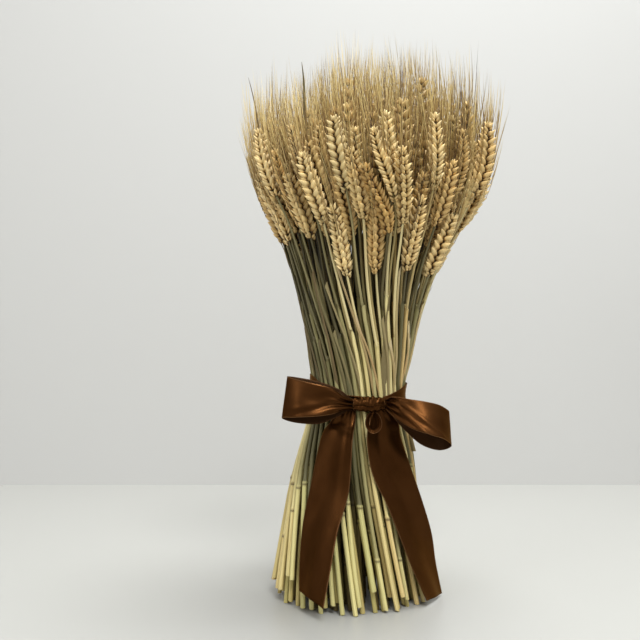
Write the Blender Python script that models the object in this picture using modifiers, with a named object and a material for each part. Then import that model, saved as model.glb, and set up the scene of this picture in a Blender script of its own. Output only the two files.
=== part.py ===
"""A dried wheat sheaf that stands on its cut straws, tied at the waist with a satin ribbon and a bow.

Metres, +Z up, front of the bow towards -Y. The origin is on the table, at the cut end of the middle straw.
Every stalk is a straw with its ear and awns. The outer ring of stalks is one object each; the stalks
inside it are held together by the tie, so they are one bunch.
"""

import math
import random

import bmesh
import bpy
import numpy as np
from mathutils import Vector

# Height, radius of the outer ring, sideways place of the middle, and twist in degrees
OUTLINE = (
    (0.0000, 0.0695, 0.0000, 28.0),
    (0.0600, 0.0605, 0.0020, 19.0),
    (0.1000, 0.0550, 0.0040, 12.5),
    (0.1300, 0.0495, 0.0060, 7.5),
    (0.1550, 0.0432, 0.0074, 3.5),
    (0.1775, 0.0396, 0.0080, 0.0),
    (0.1980, 0.0410, 0.0090, -5.0),
    (0.2150, 0.0440, 0.0100, -10.0),
    (0.2500, 0.0515, 0.0110, -20.0),
    (0.2900, 0.0640, 0.0135, -28.0),
    (0.3300, 0.0810, 0.0185, -34.0),
    (0.3700, 0.0990, 0.0200, -38.0),
    (0.4100, 0.1045, 0.0200, -41.0),
    (0.4600, 0.1050, 0.0195, -43.0),
)
WAIST_HEIGHT = 0.1775
FREE_ABOVE = 0.205  # over this height the stalks have room to move apart
FREE_FULLY = 0.260

# For each ring its number of stalks, its share of the outline, its turn in degrees, and its lowest and
# highest foot of an ear
RINGS = (
    (46, 1.00, 0.0, (0.283, 0.362)),
    (22, 0.77, 7.0, (0.322, 0.374)),
    (15, 0.54, 3.0, (0.345, 0.385)),
    (9, 0.30, 11.0, (0.358, 0.392)),
    (1, 0.00, 0.0, (0.388, 0.388)),
)
EAR_TIERS = (0.0, 1.0, 0.5)  # neighbours' ears stand low, high and between
SEED = 27
FOOT_SPREAD = 0.035  # how unevenly the straws splay at the table, as a share of the radius
CROWN_SPREAD = 0.075
TURN_SPREAD = 0.030  # radians
LIFTED_EVERY = 4  # every so many outer straws was cut short and misses the table
LIFTED_BY = 0.007

CULM_FOOT_RADIUS = 0.0021
CULM_NECK_RADIUS = 0.0014
OUTER_CULM_HEIGHTS = (0.0, 0.100, 0.1775, 0.212, 0.262)
INNER_CULM_HEIGHTS = (0.0, 0.1775, 0.262)

EAR_LENGTH = (0.058, 0.070)
EAR_HALF_WIDTH = 0.0062
EAR_HALF_DEPTH = 0.0050
OUTER_SPIKELETS = 6  # on each side of the ear
INNER_SPIKELETS = 5
SPIKELET_NECK = 0.62  # the ear's half width between two spikelets, as a share of its full one
SPIKELET_RISE = 0.30  # how far its tip stands over its middle, as a share of the step between spikelets
EAR_FOOT_SHARE = 0.34  # how wide the ear starts on its straw
EDGE_ON_SHARE = 0.4  # of the ears turn a row of spikelets outwards

AWN_BASE_RADIUS = 0.00045
AWN_PAST_TIP = (0.042, 0.057)  # how far the awns reach past the ear's tip
OUTER_AWN_ROWS = (1, 2, 4, 7)  # how many rows under the ear's tip an awn starts
INNER_AWN_ROWS = (1, 2, 4)
AWN_SPREAD = 0.13  # sideways travel for each unit of length
AWN_LEAST_SPREAD = 0.20  # the awns of the ear's foot lean out so much more than those of its tip
AWN_FREE_FROM = 0.004  # so far over its root an awn has left its own ear
AWN_OFF_EAR = 1.12  # and how far off it keeps, the ear's own edge being 1
AWN_TRIES = 60
AWN_CLEAR = 0.0011  # from every other object

CLEAR = 0.0010  # room kept between stalks while they are laid out
EAR_ROOM = 1.12  # and so much more than an ear's or a straw's own radius
STRAW_ROOM = 1.15
EAR_LEAST_ROOM = 0.0020
EAR_UPRIGHT = 0.93  # a leaning ear's height as a share of its length
CROWN_HEIGHT = 0.3775
PUSH = 0.45
LEVEL_STEP = 0.010
TOP_LEVEL = 0.470
ROUNDS = 160

HEART_RADIUS = 0.0376  # the packed middle of the bunch under the tie
HEART_HEIGHTS = (0.148, 0.163, 0.1775, 0.192, 0.208)
HEART_SHARES = (0.78, 0.95, 1.00, 0.95, 0.78)
HEART_SIDES = 16

RIBBON_THICKNESS = 0.0008
RIBBON_GAP = 0.0006
KNOT_GAP = 0.0003
RIBBON_WIDTH = 0.038
BAND_HEIGHT = 0.1735
BAND_TILT = 0.0040  # lower by so much on the right, higher on the left
BAND_GATHERED = 0.0062  # half width at the knot
BAND_STEPS = 36
BAND_ROWS = 3
BAND_OPENS = (18, 62)  # degrees from the knot where it starts to widen, and how many more until it is full
BAND_FRONT = math.radians(-90.0)
KNOT_PLACE = (0.0160, 0.1732)  # sideways and up
KNOT_HALF = Vector((0.0140, 0.0036, 0.0070))
KNOT_END_SHARE = 0.70
KNOT_STEPS, KNOT_SIDES = 8, 10

STRAW_COLOUR = (0.62, 0.55, 0.27, 1.0)
RIBBON_COLOUR = (0.075, 0.026, 0.010, 1.0)


def clear_scene():
    for obj in list(bpy.data.objects):
        bpy.data.objects.remove(obj)


def material(name, colour, roughness):
    made = bpy.data.materials.new(name)
    made.use_nodes = True
    shader = made.node_tree.nodes["Principled BSDF"]
    shader.inputs["Base Color"].default_value = colour
    shader.inputs["Roughness"].default_value = roughness
    shader.inputs["Metallic"].default_value = 0.0
    return made


def smoothstep(x):
    x = np.clip(x, 0.0, 1.0)
    return x * x * (3.0 - 2.0 * x)


def outline(heights):
    """Radius, sideways place and twist in radians at these heights, on cubic arcs through OUTLINE."""
    table = np.array(OUTLINE)
    at, values = table[:, 0], table[:, 1:]
    slopes = np.gradient(values, at, axis=0)
    heights = np.clip(np.asarray(heights, float), at[0], at[-1])
    k = np.clip(np.searchsorted(at, heights, side="right") - 1, 0, len(at) - 2)
    span = (at[k + 1] - at[k])[:, None]
    t = ((heights - at[k]) / span[:, 0])[:, None]
    rise = t * t * (3 - 2 * t)
    found = (
        values[k] * (1 - rise)
        + values[k + 1] * rise
        + slopes[k] * span * t * (1 - t) ** 2
        - slopes[k + 1] * span * t * t * (1 - t)
    )
    return found[:, 0], found[:, 1], np.radians(found[:, 2])


def skin(height):
    """Radius that clears the outer straws at this height, and the middle's sideways place."""
    radius, middle, _ = outline(OUTER_CULM_HEIGHTS)
    straw = float(np.interp(height, OUTER_CULM_HEIGHTS, radius)) + culm_radius(height)
    swell = 1 + FOOT_SPREAD * max(0.0, 1 - height / WAIST_HEIGHT)
    return straw * swell, float(np.interp(height, OUTER_CULM_HEIGHTS, middle))


def culm_radius(height):
    return CULM_FOOT_RADIUS + (CULM_NECK_RADIUS - CULM_FOOT_RADIUS) * min(1.0, max(0.0, height / 0.30))


class Stalk:
    """One straw with its ear: where it stands, and how high and long its ear is."""

    def __init__(self, ring, place, share, angle, ear_foot, rng):
        self.outer = ring == 0
        self.share = share
        self.angle = angle
        self.ear_foot = ear_foot
        self.ear_length = rng.uniform(*EAR_LENGTH)
        self.foot_swell = rng.uniform(-1, 1) * FOOT_SPREAD
        self.crown_swell = rng.uniform(-1, 1) * CROWN_SPREAD
        self.crown_turn = rng.uniform(-1, 1) * TURN_SPREAD
        self.roll = rng.uniform(-1, 1) * math.pi / 4
        self.edge_on = rng.random() < EDGE_ON_SHARE
        self.lift = LIFTED_BY if self.outer and place % LIFTED_EVERY == 1 else 0.0
        self.culm_heights = OUTER_CULM_HEIGHTS if self.outer else INNER_CULM_HEIGHTS
        self.steps = 2 * (OUTER_SPIKELETS if self.outer else INNER_SPIKELETS)
        self.path = None


def plan_stalks():
    rng = random.Random(SEED)
    stalks = []
    for ring, (count, share, turn, (low, high)) in enumerate(RINGS):
        for place in range(count):
            angle = math.radians(turn) + math.tau * place / count
            tier = EAR_TIERS[place % len(EAR_TIERS)] if ring == 0 else rng.random()
            ear_foot = low + (high - low) * tier + rng.uniform(-0.004, 0.004) * (share > 0)
            stalks.append(Stalk(ring, place, share, angle, ear_foot, rng))
    return stalks


def wanted_track(stalk, levels):
    """Where the stalk would go if it met no other: its share of the outline, turned with the twist."""
    radius, middle, twist = outline(levels)
    below = np.clip(1 - levels / WAIST_HEIGHT, 0, 1)
    above = smoothstep((levels - WAIST_HEIGHT) / (CROWN_HEIGHT - WAIST_HEIGHT))
    reach = stalk.share * radius * (1 + stalk.foot_swell * below + stalk.crown_swell * above)
    turn = stalk.angle + twist + stalk.crown_turn * above
    return np.column_stack([middle + reach * np.cos(turn), reach * np.sin(turn)])


def filled_radius(stalk, levels):
    """The room that the stalk fills at each level: its straw, its ear, and nothing over the ear's tip."""
    along = (levels - stalk.ear_foot) / (stalk.ear_length * EAR_UPRIGHT)
    belly = np.sqrt(np.sin(np.pi * np.clip(0.07 + 0.86 * along, 0, 1)))
    straw = np.array([culm_radius(h) for h in levels]) * STRAW_ROOM
    ear = np.maximum(EAR_HALF_WIDTH * EAR_ROOM * belly, EAR_LEAST_ROOM)
    return np.where(along < 0, straw, np.where(along < 1.08, ear, 0.0))


def lay_out(stalks):
    """Gives every stalk its path: a point at each level, with the ears moved apart until none touch."""
    levels = np.arange(0.0, TOP_LEVEL + LEVEL_STEP / 2, LEVEL_STEP)
    wanted = np.array([wanted_track(s, levels) for s in stalks])
    filled = np.array([filled_radius(s, levels) for s in stalks])
    free = smoothstep((levels - FREE_ABOVE) / (FREE_FULLY - FREE_ABOVE))[None, :, None]
    moved = np.zeros_like(wanted)
    present = (filled[:, None] > 0) & (filled[None] > 0) & ~np.eye(len(stalks), dtype=bool)[:, :, None]
    room = np.where(present, filled[:, None] + filled[None] + CLEAR, 0.0)
    for _ in range(ROUNDS):
        points = wanted + moved
        apart = points[:, None] - points[None]
        distance = np.sqrt((apart**2).sum(axis=3)) + 1e-9
        push = np.clip(room - distance, 0, None) / distance
        moved = moved + PUSH * (apart * push[..., None]).sum(axis=1) * free
        moved[:, 1:-1] = (moved[:, :-2] + 2 * moved[:, 1:-1] + moved[:, 2:]) / 4
        moved = moved * free
    for s, track in zip(stalks, wanted + moved):
        s.path = np.column_stack([track, levels])


def point_on(stalk, height):
    """The point of the stalk's path at this height. Over the last level it runs straight on."""
    path = stalk.path
    if height > TOP_LEVEL:
        return Vector(path[-1] + (path[-1] - path[-3]) * (height - TOP_LEVEL) / (2 * LEVEL_STEP))
    return Vector([np.interp(height, path[:, 2], path[:, k]) for k in range(2)] + [height])


def ear_point(stalk, share):
    """Centre of the ear at this share of its length, and the direction in which it grows there."""
    lean = (point_on(stalk, stalk.ear_foot + 0.03) - point_on(stalk, stalk.ear_foot)).normalized()
    height = stalk.ear_foot + share * stalk.ear_length * lean.z
    ahead = point_on(stalk, height + 0.008) - point_on(stalk, height - 0.008)
    return point_on(stalk, height), ahead.normalized()


def outward_angle(stalk, point):
    """The way that the stalk faces here, so that its four sides turn with the twist of the sheaf."""
    _, middle, _ = outline([point.z])
    if stalk.share == 0:
        return stalk.angle
    return math.atan2(point.y, point.x - middle[0])


def culm_rings(stalk):
    """Level rings up the straw, the lowest one flat on the table."""
    heights = [stalk.lift] + list(stalk.culm_heights[1:])
    rings = []
    for height in heights:
        centre = point_on(stalk, height)
        radius = culm_radius(height)
        facing = outward_angle(stalk, centre)
        corners = [facing + math.pi / 2 * k for k in range(4)]
        rings.append([centre + Vector((math.cos(a), math.sin(a), 0)) * radius for a in corners])
    return rings


def ear_frame(stalk, share):
    """Centre and growing direction of the ear, and the directions across it: along and square to its rows."""
    centre, ahead = ear_point(stalk, share)
    facing = outward_angle(stalk, centre) + stalk.roll + (0 if stalk.edge_on else math.pi / 2)
    deep = ahead.cross(Vector((math.cos(facing), math.sin(facing), 0))).normalized()
    return centre, ahead, deep.cross(ahead), deep


def ear_taper(share):
    return math.sin(math.pi * (0.24 + 0.66 * share)) ** 0.55


def ear_rings(stalk):
    """Rings up the ear, with a step out for each spikelet, in turn on one edge and on the other."""
    rings = []
    rise = SPIKELET_RISE * stalk.ear_length / stalk.steps
    for k in range(stalk.steps + 1):
        centre, ahead, wide, deep = ear_frame(stalk, k / stalk.steps)
        if k == 0:
            reach = [EAR_HALF_WIDTH * EAR_FOOT_SHARE, EAR_HALF_DEPTH * EAR_FOOT_SHARE] * 2
        elif k == stalk.steps:
            reach = [AWN_BASE_RADIUS] * 4
        else:
            edges = (1.0, SPIKELET_NECK) if k % 2 else (SPIKELET_NECK, 1.0)
            reach = [EAR_HALF_WIDTH * edges[0], EAR_HALF_DEPTH, EAR_HALF_WIDTH * edges[1], EAR_HALF_DEPTH]
            reach = [r * ear_taper(k / stalk.steps) for r in reach]
        lifts = [rise, 0, -rise, 0] if k % 2 else [-rise, 0, rise, 0]
        ways = (wide, deep, -wide, -deep)
        corners = [centre + way * r + ahead * lift for way, r, lift in zip(ways, reach, lifts)]
        rings.append(corners if stalk.edge_on else corners[-1:] + corners[:-1])
    return rings


def stalk_solid(stalk, awns):
    """Straw, ear and top awn in one skin, with the other awns drawn out of the spikelets."""
    rings = culm_rings(stalk) + ear_rings(stalk)
    bm = bmesh.new()
    loops = [[bm.verts.new(p) for p in ring] for ring in rings]
    bm.faces.new(reversed(loops[0]))
    sides = {}
    for row, (lower, upper) in enumerate(zip(loops, loops[1:])):
        for k in range(4):
            n = (k + 1) % 4
            bm.faces.new((lower[k], lower[n], upper[n]))
            sides[row, k] = bm.faces.new((lower[k], upper[n], upper[k]))
    tip = bm.verts.new(top_awn_tip(stalk))
    for k in range(4):
        bm.faces.new((loops[-1][k], loops[-1][(k + 1) % 4], tip))
    bmesh.ops.recalc_face_normals(bm, faces=bm.faces)
    for row, side, end in awns:
        draw_awn(bm, sides[len(stalk.culm_heights) + row, side], end)
    mesh = bpy.data.meshes.new("stalk")
    bm.to_mesh(mesh)
    bm.free()
    return bpy.data.objects.new("stalk", mesh)


def draw_awn(bm, face, end):
    """Narrows a copy of the face to an awn's root and draws its middle out to the awn's end."""
    root = face.calc_center_median()
    raised = bmesh.ops.extrude_discrete_faces(bm, faces=[face])["faces"][0]
    for corner in raised.verts:
        corner.co = root + (corner.co - root).normalized() * AWN_BASE_RADIUS
    bmesh.ops.poke(bm, faces=[raised])["verts"][0].co = end


def top_awn_tip(stalk):
    centre, ahead = ear_point(stalk, 1.0)
    return centre + ahead * sum(AWN_PAST_TIP) / 2


def loft(name, rings):
    """A closed solid through rings of as many corners each, with flat ends."""
    bm = bmesh.new()
    loops = [[bm.verts.new(p) for p in ring] for ring in rings]
    sides = len(rings[0])
    for lower, upper in zip(loops, loops[1:]):
        for k in range(sides):
            n = (k + 1) % sides
            bm.faces.new((lower[k], lower[n], upper[n], upper[k]))
    bm.faces.new(reversed(loops[0]))
    bm.faces.new(loops[-1])
    bmesh.ops.recalc_face_normals(bm, faces=bm.faces)
    bmesh.ops.triangulate(bm, faces=bm.faces)
    mesh = bpy.data.meshes.new(name)
    bm.to_mesh(mesh)
    bm.free()
    return bpy.data.objects.new(name, mesh)


def samples_of(stalk):
    """Points along the straw and the ear, each with the radius it fills."""
    heights = np.arange(0.20, stalk.ear_foot, 0.003)
    found = [(*point_on(stalk, h), culm_radius(h)) for h in heights]
    for share in np.linspace(0, 1, 24):
        centre, _ = ear_point(stalk, share)
        found.append((*centre, EAR_HALF_WIDTH * 1.05))
    return np.array(found)


def line_samples(start, end):
    """Points along an awn, each with its radius there."""
    steps = np.linspace(0.0, 1.0, 40)[:, None]
    line = np.array(start) + steps * np.array(end - start)
    return np.column_stack([line, AWN_BASE_RADIUS * (1 - steps[:, 0])])


def clearance(start, end, cloud):
    """How far the line from start to end stays from the cloud's points, less their radii."""
    a, along = np.array(start), np.array(end - start)
    t = np.clip(((cloud[:, :3] - a) @ along) / (along @ along), 0, 1)
    nearest = a + t[:, None] * along
    return float((np.linalg.norm(cloud[:, :3] - nearest, axis=1) - cloud[:, 3]).min())


def plan_awns(stalks):
    """For each stalk its awns: the ear's row and side, and the end. Each keeps clear of the other objects."""
    rng = random.Random(SEED + 1)
    groups = [i if s.outer else -1 for i, s in enumerate(stalks)]
    laid = []
    for i, s in enumerate(stalks):
        top, _ = ear_point(s, 1.0)
        laid += [(groups[i], samples_of(s)), (groups[i], line_samples(top, top_awn_tip(s)))]
    planned = [[] for _ in stalks]
    for i, s in enumerate(stalks):
        cloud = np.concatenate([c for g, c in laid if g != groups[i]])
        rings = ear_rings(s)
        edge = 0 if s.edge_on else 1
        for step in OUTER_AWN_ROWS if s.outer else INNER_AWN_ROWS:
            row = s.steps - 1 - step
            side = edge if row % 2 and step else edge + 2
            side = (side - step // 2 % 2) % 4
            best = None
            for _ in range(AWN_TRIES):
                start, end = awn_line(s, row, side, rings, rng)
                if crosses_own_ear(s, start, end):
                    continue
                room = clearance(start + (end - start) * 0.1, end, cloud)
                if best is None or room > best[0]:
                    best = (room, start, end)
                if room > 3 * AWN_CLEAR:
                    break
            if best is None or best[0] < AWN_CLEAR:
                continue
            _, start, end = best
            planned[i].append((row, side, end))
            laid.append((groups[i], line_samples(start, end)))
    return planned


def crosses_own_ear(stalk, start, end):
    """Whether the awn meets the spikelets over its own, the ear being a lozenge across."""
    for k in range(2 * stalk.steps):
        share = k / (2 * stalk.steps)
        centre, ahead, wide, deep = ear_frame(stalk, share)
        along = (centre - start).dot(ahead)
        if along < AWN_FREE_FROM:
            continue
        across = start + (end - start) * along / (end - start).dot(ahead) - centre
        off = abs(across.dot(wide)) / EAR_HALF_WIDTH + abs(across.dot(deep)) / EAR_HALF_DEPTH
        if off < AWN_OFF_EAR * ear_taper(share):
            return True
    return False


def awn_line(stalk, row, side, rings, rng):
    """One awn: from the shoulder of a spikelet, up beside the ear and out past its tip."""
    corners = rings[row][side], rings[row + 1][(side + 1) % 4], rings[row + 1][side]
    start = sum(corners, Vector()) / 3
    share = row / stalk.steps
    centre, ahead = ear_point(stalk, share)
    facing = start - centre
    facing = (facing - ahead * facing.dot(ahead)).normalized()
    spread = rng.uniform(0, AWN_SPREAD) + AWN_LEAST_SPREAD * (1 - share)
    sway = ahead.cross(facing) * rng.uniform(-1, 1) * AWN_SPREAD
    reach = (1 - share) * stalk.ear_length + rng.uniform(*AWN_PAST_TIP)
    return start, start + (ahead + facing * spread + sway) * reach


def fused(name, pieces):
    """One closed object from pieces that overlap."""
    body, others = pieces[0], pieces[1:]
    bpy.context.scene.collection.objects.link(body)
    group = bpy.data.collections.new(name + "_pieces")
    bpy.context.scene.collection.children.link(group)
    for piece in others:
        group.objects.link(piece)
    join = body.modifiers.new("join", "BOOLEAN")
    join.operation = "UNION"
    join.operand_type = "COLLECTION"
    join.collection = group
    join.solver = "MANIFOLD"
    graph = bpy.context.evaluated_depsgraph_get()
    mesh = bpy.data.meshes.new_from_object(body.evaluated_get(graph))
    for piece in pieces:
        bpy.data.objects.remove(piece)
    bpy.data.collections.remove(group)
    return bpy.data.objects.new(name, mesh)


def finished(obj, name, finish):
    obj.name = name
    obj.data.name = name
    obj.data.materials.clear()
    obj.data.materials.append(finish)
    return obj


def heart():
    """The packed middle of the bunch, which the tie squeezes into one body."""
    rings = []
    for height, share in zip(HEART_HEIGHTS, HEART_SHARES):
        _, middle, twist = outline([height])
        turns = [twist[0] + math.tau * k / HEART_SIDES for k in range(HEART_SIDES)]
        reach = [HEART_RADIUS * share * (1.0 if k % 2 else 0.93) for k in range(HEART_SIDES)]
        rings.append([(middle[0] + r * math.cos(a), r * math.sin(a), height) for r, a in zip(reach, turns)])
    return loft("heart", rings)


def ribbon_strip(name, pairs, finish, across=2):
    """A ribbon through pairs of edge points in millimetres, as an open sheet thickened by Solidify."""
    bm = bmesh.new()
    rows = []
    for one, other in pairs:
        a, b = Vector(one) / 1000, Vector(other) / 1000
        rows.append([bm.verts.new(a.lerp(b, k / across)) for k in range(across + 1)])
    for lower, upper in zip(rows, rows[1:]):
        for k in range(across):
            bm.faces.new((lower[k], lower[k + 1], upper[k + 1], upper[k]))
    return sheet_object(name, bm, finish)


def sheet_object(name, bm, finish):
    mesh = bpy.data.meshes.new(name)
    bmesh.ops.recalc_face_normals(bm, faces=bm.faces)
    bm.to_mesh(mesh)
    bm.free()
    mesh.shade_smooth()
    mesh.materials.append(finish)
    obj = bpy.data.objects.new(name, mesh)
    thicken = obj.modifiers.new("thickness", "SOLIDIFY")
    thicken.thickness = RIBBON_THICKNESS
    thicken.offset = 0.0
    return obj


def smooth_pairs(pairs, per_span):
    """More pairs of edge points, on a smooth curve through the given ones."""
    points = np.array([[*a, *b] for a, b in pairs], float)
    padded = np.vstack([2 * points[0] - points[1], points, 2 * points[-1] - points[-2]])
    found = []
    for k in range(1, len(padded) - 2):
        p0, p1, p2, p3 = padded[k - 1 : k + 3]
        for t in np.arange(per_span) / per_span:
            found.append(
                0.5
                * (
                    2 * p1
                    + (p2 - p0) * t
                    + (2 * p0 - 5 * p1 + 4 * p2 - p3) * t**2
                    + (3 * p1 - p0 - 3 * p2 + p3) * t**3
                )
            )
    found.append(points[-1])
    return [(row[:3], row[3:]) for row in found]


def band(finish):
    """The ribbon round the waist: full width at the back, gathered where the knot draws it in."""
    bm = bmesh.new()
    rows = []
    for k in range(BAND_STEPS):
        turn = BAND_FRONT + math.tau * k / BAND_STEPS
        from_front = abs(math.remainder(turn - BAND_FRONT, math.tau))
        opening = float(smoothstep((math.degrees(from_front) - BAND_OPENS[0]) / BAND_OPENS[1]))
        half = BAND_GATHERED + (RIBBON_WIDTH / 2 - BAND_GATHERED) * opening
        row = []
        for step in range(BAND_ROWS + 1):
            height = BAND_HEIGHT - BAND_TILT * math.cos(turn) + half * (2 * step / BAND_ROWS - 1)
            radius, middle = skin(height)
            radius += RIBBON_GAP + RIBBON_THICKNESS / 2
            row.append(bm.verts.new((middle + radius * math.cos(turn), radius * math.sin(turn), height)))
        rows.append(row)
    for k, row in enumerate(rows):
        after = rows[(k + 1) % BAND_STEPS]
        for step in range(BAND_ROWS):
            bm.faces.new((row[step], row[step + 1], after[step + 1], after[step]))
    return sheet_object("ribbon_band", bm, finish)


def knot(finish):
    """The gathered knot: a flat roll that follows the front of the band, with a pleat at every other ring."""
    band_radius, middle = skin(BAND_HEIGHT)
    follow = band_radius + RIBBON_GAP + RIBBON_THICKNESS + KNOT_GAP + KNOT_HALF.y
    rings = []
    for k in range(KNOT_STEPS + 1):
        along = 2 * k / KNOT_STEPS - 1
        size = (1 - (1 - KNOT_END_SHARE) * abs(along) ** 4) * (1.0 if k % 2 else 0.90)
        x = KNOT_PLACE[0] + KNOT_HALF.x * along
        centre = Vector((x, -math.sqrt(follow**2 - (x - middle) ** 2), KNOT_PLACE[1]))
        turns = [math.tau * c / KNOT_SIDES for c in range(KNOT_SIDES)]
        section = [Vector((0, KNOT_HALF.y * math.cos(t), KNOT_HALF.z * math.sin(t))) for t in turns]
        rings.append([centre + corner * size for corner in section])
    obj = loft("ribbon_knot", rings)
    obj.data.materials.append(finish)
    return obj


# Edge points of each loop, upper edge first, in millimetres: out along its front, round the fold, back behind
LEFT_LOOP = (
    ((1.4, -48.2, 177.4), (1.4, -48.2, 169.2)),
    ((-7, -52.5, 183.5), (-7, -53.5, 167.5)),
    ((-17, -56, 188.5), (-17, -58, 164.5)),
    ((-30, -57, 191.5), (-30, -60, 162.5)),
    ((-44, -54, 194.5), (-46, -57.5, 161.5)),
    ((-54, -47, 197), (-58.5, -50, 161)),
    ((-46, -42, 196), (-48, -45.5, 157.5)),
    ((-28, -42.5, 192.5), (-28, -49, 156.5)),
    ((-12, -44.8, 185), (-12, -50.5, 163.5)),
    ((1.2, -44.8, 177.0), (1.2, -45.0, 169.6)),
)
RIGHT_LOOP = (
    ((30.6, -43.8, 177.2), (30.6, -43.8, 169.4)),
    ((38, -50.5, 180.5), (38, -51.5, 162.0)),
    ((49, -57, 178.5), (49, -59, 152.5)),
    ((62, -57.5, 176.5), (62, -60.5, 143)),
    ((75, -52, 173), (75, -55.5, 137)),
    ((84, -44.5, 167), (84.5, -47, 135)),
    ((76, -38.5, 168), (76, -42.5, 133.5)),
    ((61, -36.5, 173), (61, -42.5, 138)),
    ((48, -36.5, 177), (48, -43, 149)),
    ((38, -37.5, 178.5), (38, -42.0, 160)),
    ((30.8, -40.0, 176.8), (30.8, -40.2, 169.8)),
)
# The small loop that hangs from the knot: left side, bottom and right side, with its ribbon seen edge on
DROP_LOOP = (
    ((17.2, -49.5, 165.7), (17.2, -43.5, 165.7)),
    ((14.6, -56, 163.0), (14.6, -49.0, 163.0)),
    ((13.4, -60, 157.5), (13.4, -52.5, 157.5)),
    ((15.8, -60.5, 152.6), (15.8, -53.5, 152.6)),
    ((19.4, -60.5, 151.6), (19.4, -53.5, 151.6)),
    ((23.0, -60.5, 153.8), (23.0, -53.5, 153.8)),
    ((24.4, -59, 158.5), (24.4, -52, 158.5)),
    ((22.8, -55, 163.4), (22.8, -48.5, 163.4)),
    ((20.0, -49.5, 165.7), (20.0, -43.5, 165.7)),
)
# For each tail from the knot down: height, place round the sheaf and turn from the front in degrees,
# width of the ribbon there, and how far it stands off the straws
LEFT_TAIL = (
    (0.1667, -7, -6, 0.011, 0.0035),
    (0.1575, -17, -24, 0.021, 0.0030),
    (0.1440, -20, -40, 0.034, 0.0022),
    (0.1020, -22, -33, 0.038, 0.0015),
    (0.0710, -26, -41, 0.038, 0.0015),
    (0.0400, -27, -50, 0.038, 0.0015),
    (0.0150, -27, -60, 0.038, 0.0015),
)
RIGHT_TAIL = (
    (0.1667, 25, 22, 0.010, 0.0025),
    (0.1575, 27, 24, 0.021, 0.0035),
    (0.1430, 26, 31, 0.036, 0.0022),
    (0.1160, 32, 22, 0.038, 0.0015),
    (0.0890, 43, 33, 0.038, 0.0015),
    (0.0600, 53, 41, 0.038, 0.0015),
    (0.0340, 61, 54, 0.038, 0.0015),
    (0.0110, 68, 66, 0.038, 0.0015),
)
LEFT_TAIL_SLANT = -0.006  # how much lower the end's left corner is than its right one
RIGHT_TAIL_SLANT = 0.004


def tail_pairs(rows, slant):
    """Left and right edge points of a tail that lies on the straws, in millimetres."""
    pairs = []
    for height, place, turn, width, off in rows:
        radius, middle = skin(height)
        radius += off
        out = Vector((math.sin(math.radians(place)), -math.cos(math.radians(place)), 0))
        across = Vector((math.cos(math.radians(turn)), math.sin(math.radians(turn)), 0)) * width / 2
        reach = radius
        while min((out * reach + across * k / 4).length for k in range(-4, 5)) < radius:
            reach += 0.0002
        centre = Vector((middle, 0, height)) + out * reach
        pairs.append((1000 * (centre - across), 1000 * (centre + across)))
    pairs[-1][0].z -= 500 * slant
    pairs[-1][1].z += 500 * slant
    return pairs


def build():
    clear_scene()
    straw = material("dried_straw", STRAW_COLOUR, 0.6)
    satin = material("brown_satin", RIBBON_COLOUR, 0.3)
    stalks = plan_stalks()
    lay_out(stalks)
    awns = plan_awns(stalks)
    made = []
    bunch = [heart()]
    for stalk, its_awns in zip(stalks, awns):
        solid = stalk_solid(stalk, its_awns)
        if stalk.outer:
            made.append(finished(solid, f"stalk_{len(made) + 1:02d}", straw))
        else:
            bunch.append(solid)
    made.append(finished(fused("inner_bunch", bunch), "inner_bunch", straw))
    made += [
        band(satin),
        knot(satin),
        ribbon_strip("ribbon_loop_left", smooth_pairs(LEFT_LOOP, 2), satin),
        ribbon_strip("ribbon_loop_right", smooth_pairs(RIGHT_LOOP, 2), satin),
        ribbon_strip("ribbon_tail_left", smooth_pairs(tail_pairs(LEFT_TAIL, LEFT_TAIL_SLANT), 2), satin),
        ribbon_strip("ribbon_tail_right", smooth_pairs(tail_pairs(RIGHT_TAIL, RIGHT_TAIL_SLANT), 2), satin),
        ribbon_strip("ribbon_drop_loop", smooth_pairs(DROP_LOOP, 2), satin, across=1),
    ]
    sheaf = bpy.data.collections.new("wheat_sheaf")
    bpy.context.scene.collection.children.link(sheaf)
    for obj in made:
        sheaf.objects.link(obj)


build()
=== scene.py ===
# %% [markdown]
# A dried wheat sheaf, tied with a satin ribbon
#
# The sheaf stands on its cut straws. About two hundred stalks are squeezed together at the waist, and they
# spread again above it into a crown of bearded ears. The solid model already says where the outer stalks
# and the ribbon run, so this script reads it as a fixed frame and dresses it: every straw gets its sheath
# and node, every ear its spikelets and awns, and the ribbon its pleats and its satin.

# %% Load the frame
import math
import random

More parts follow.
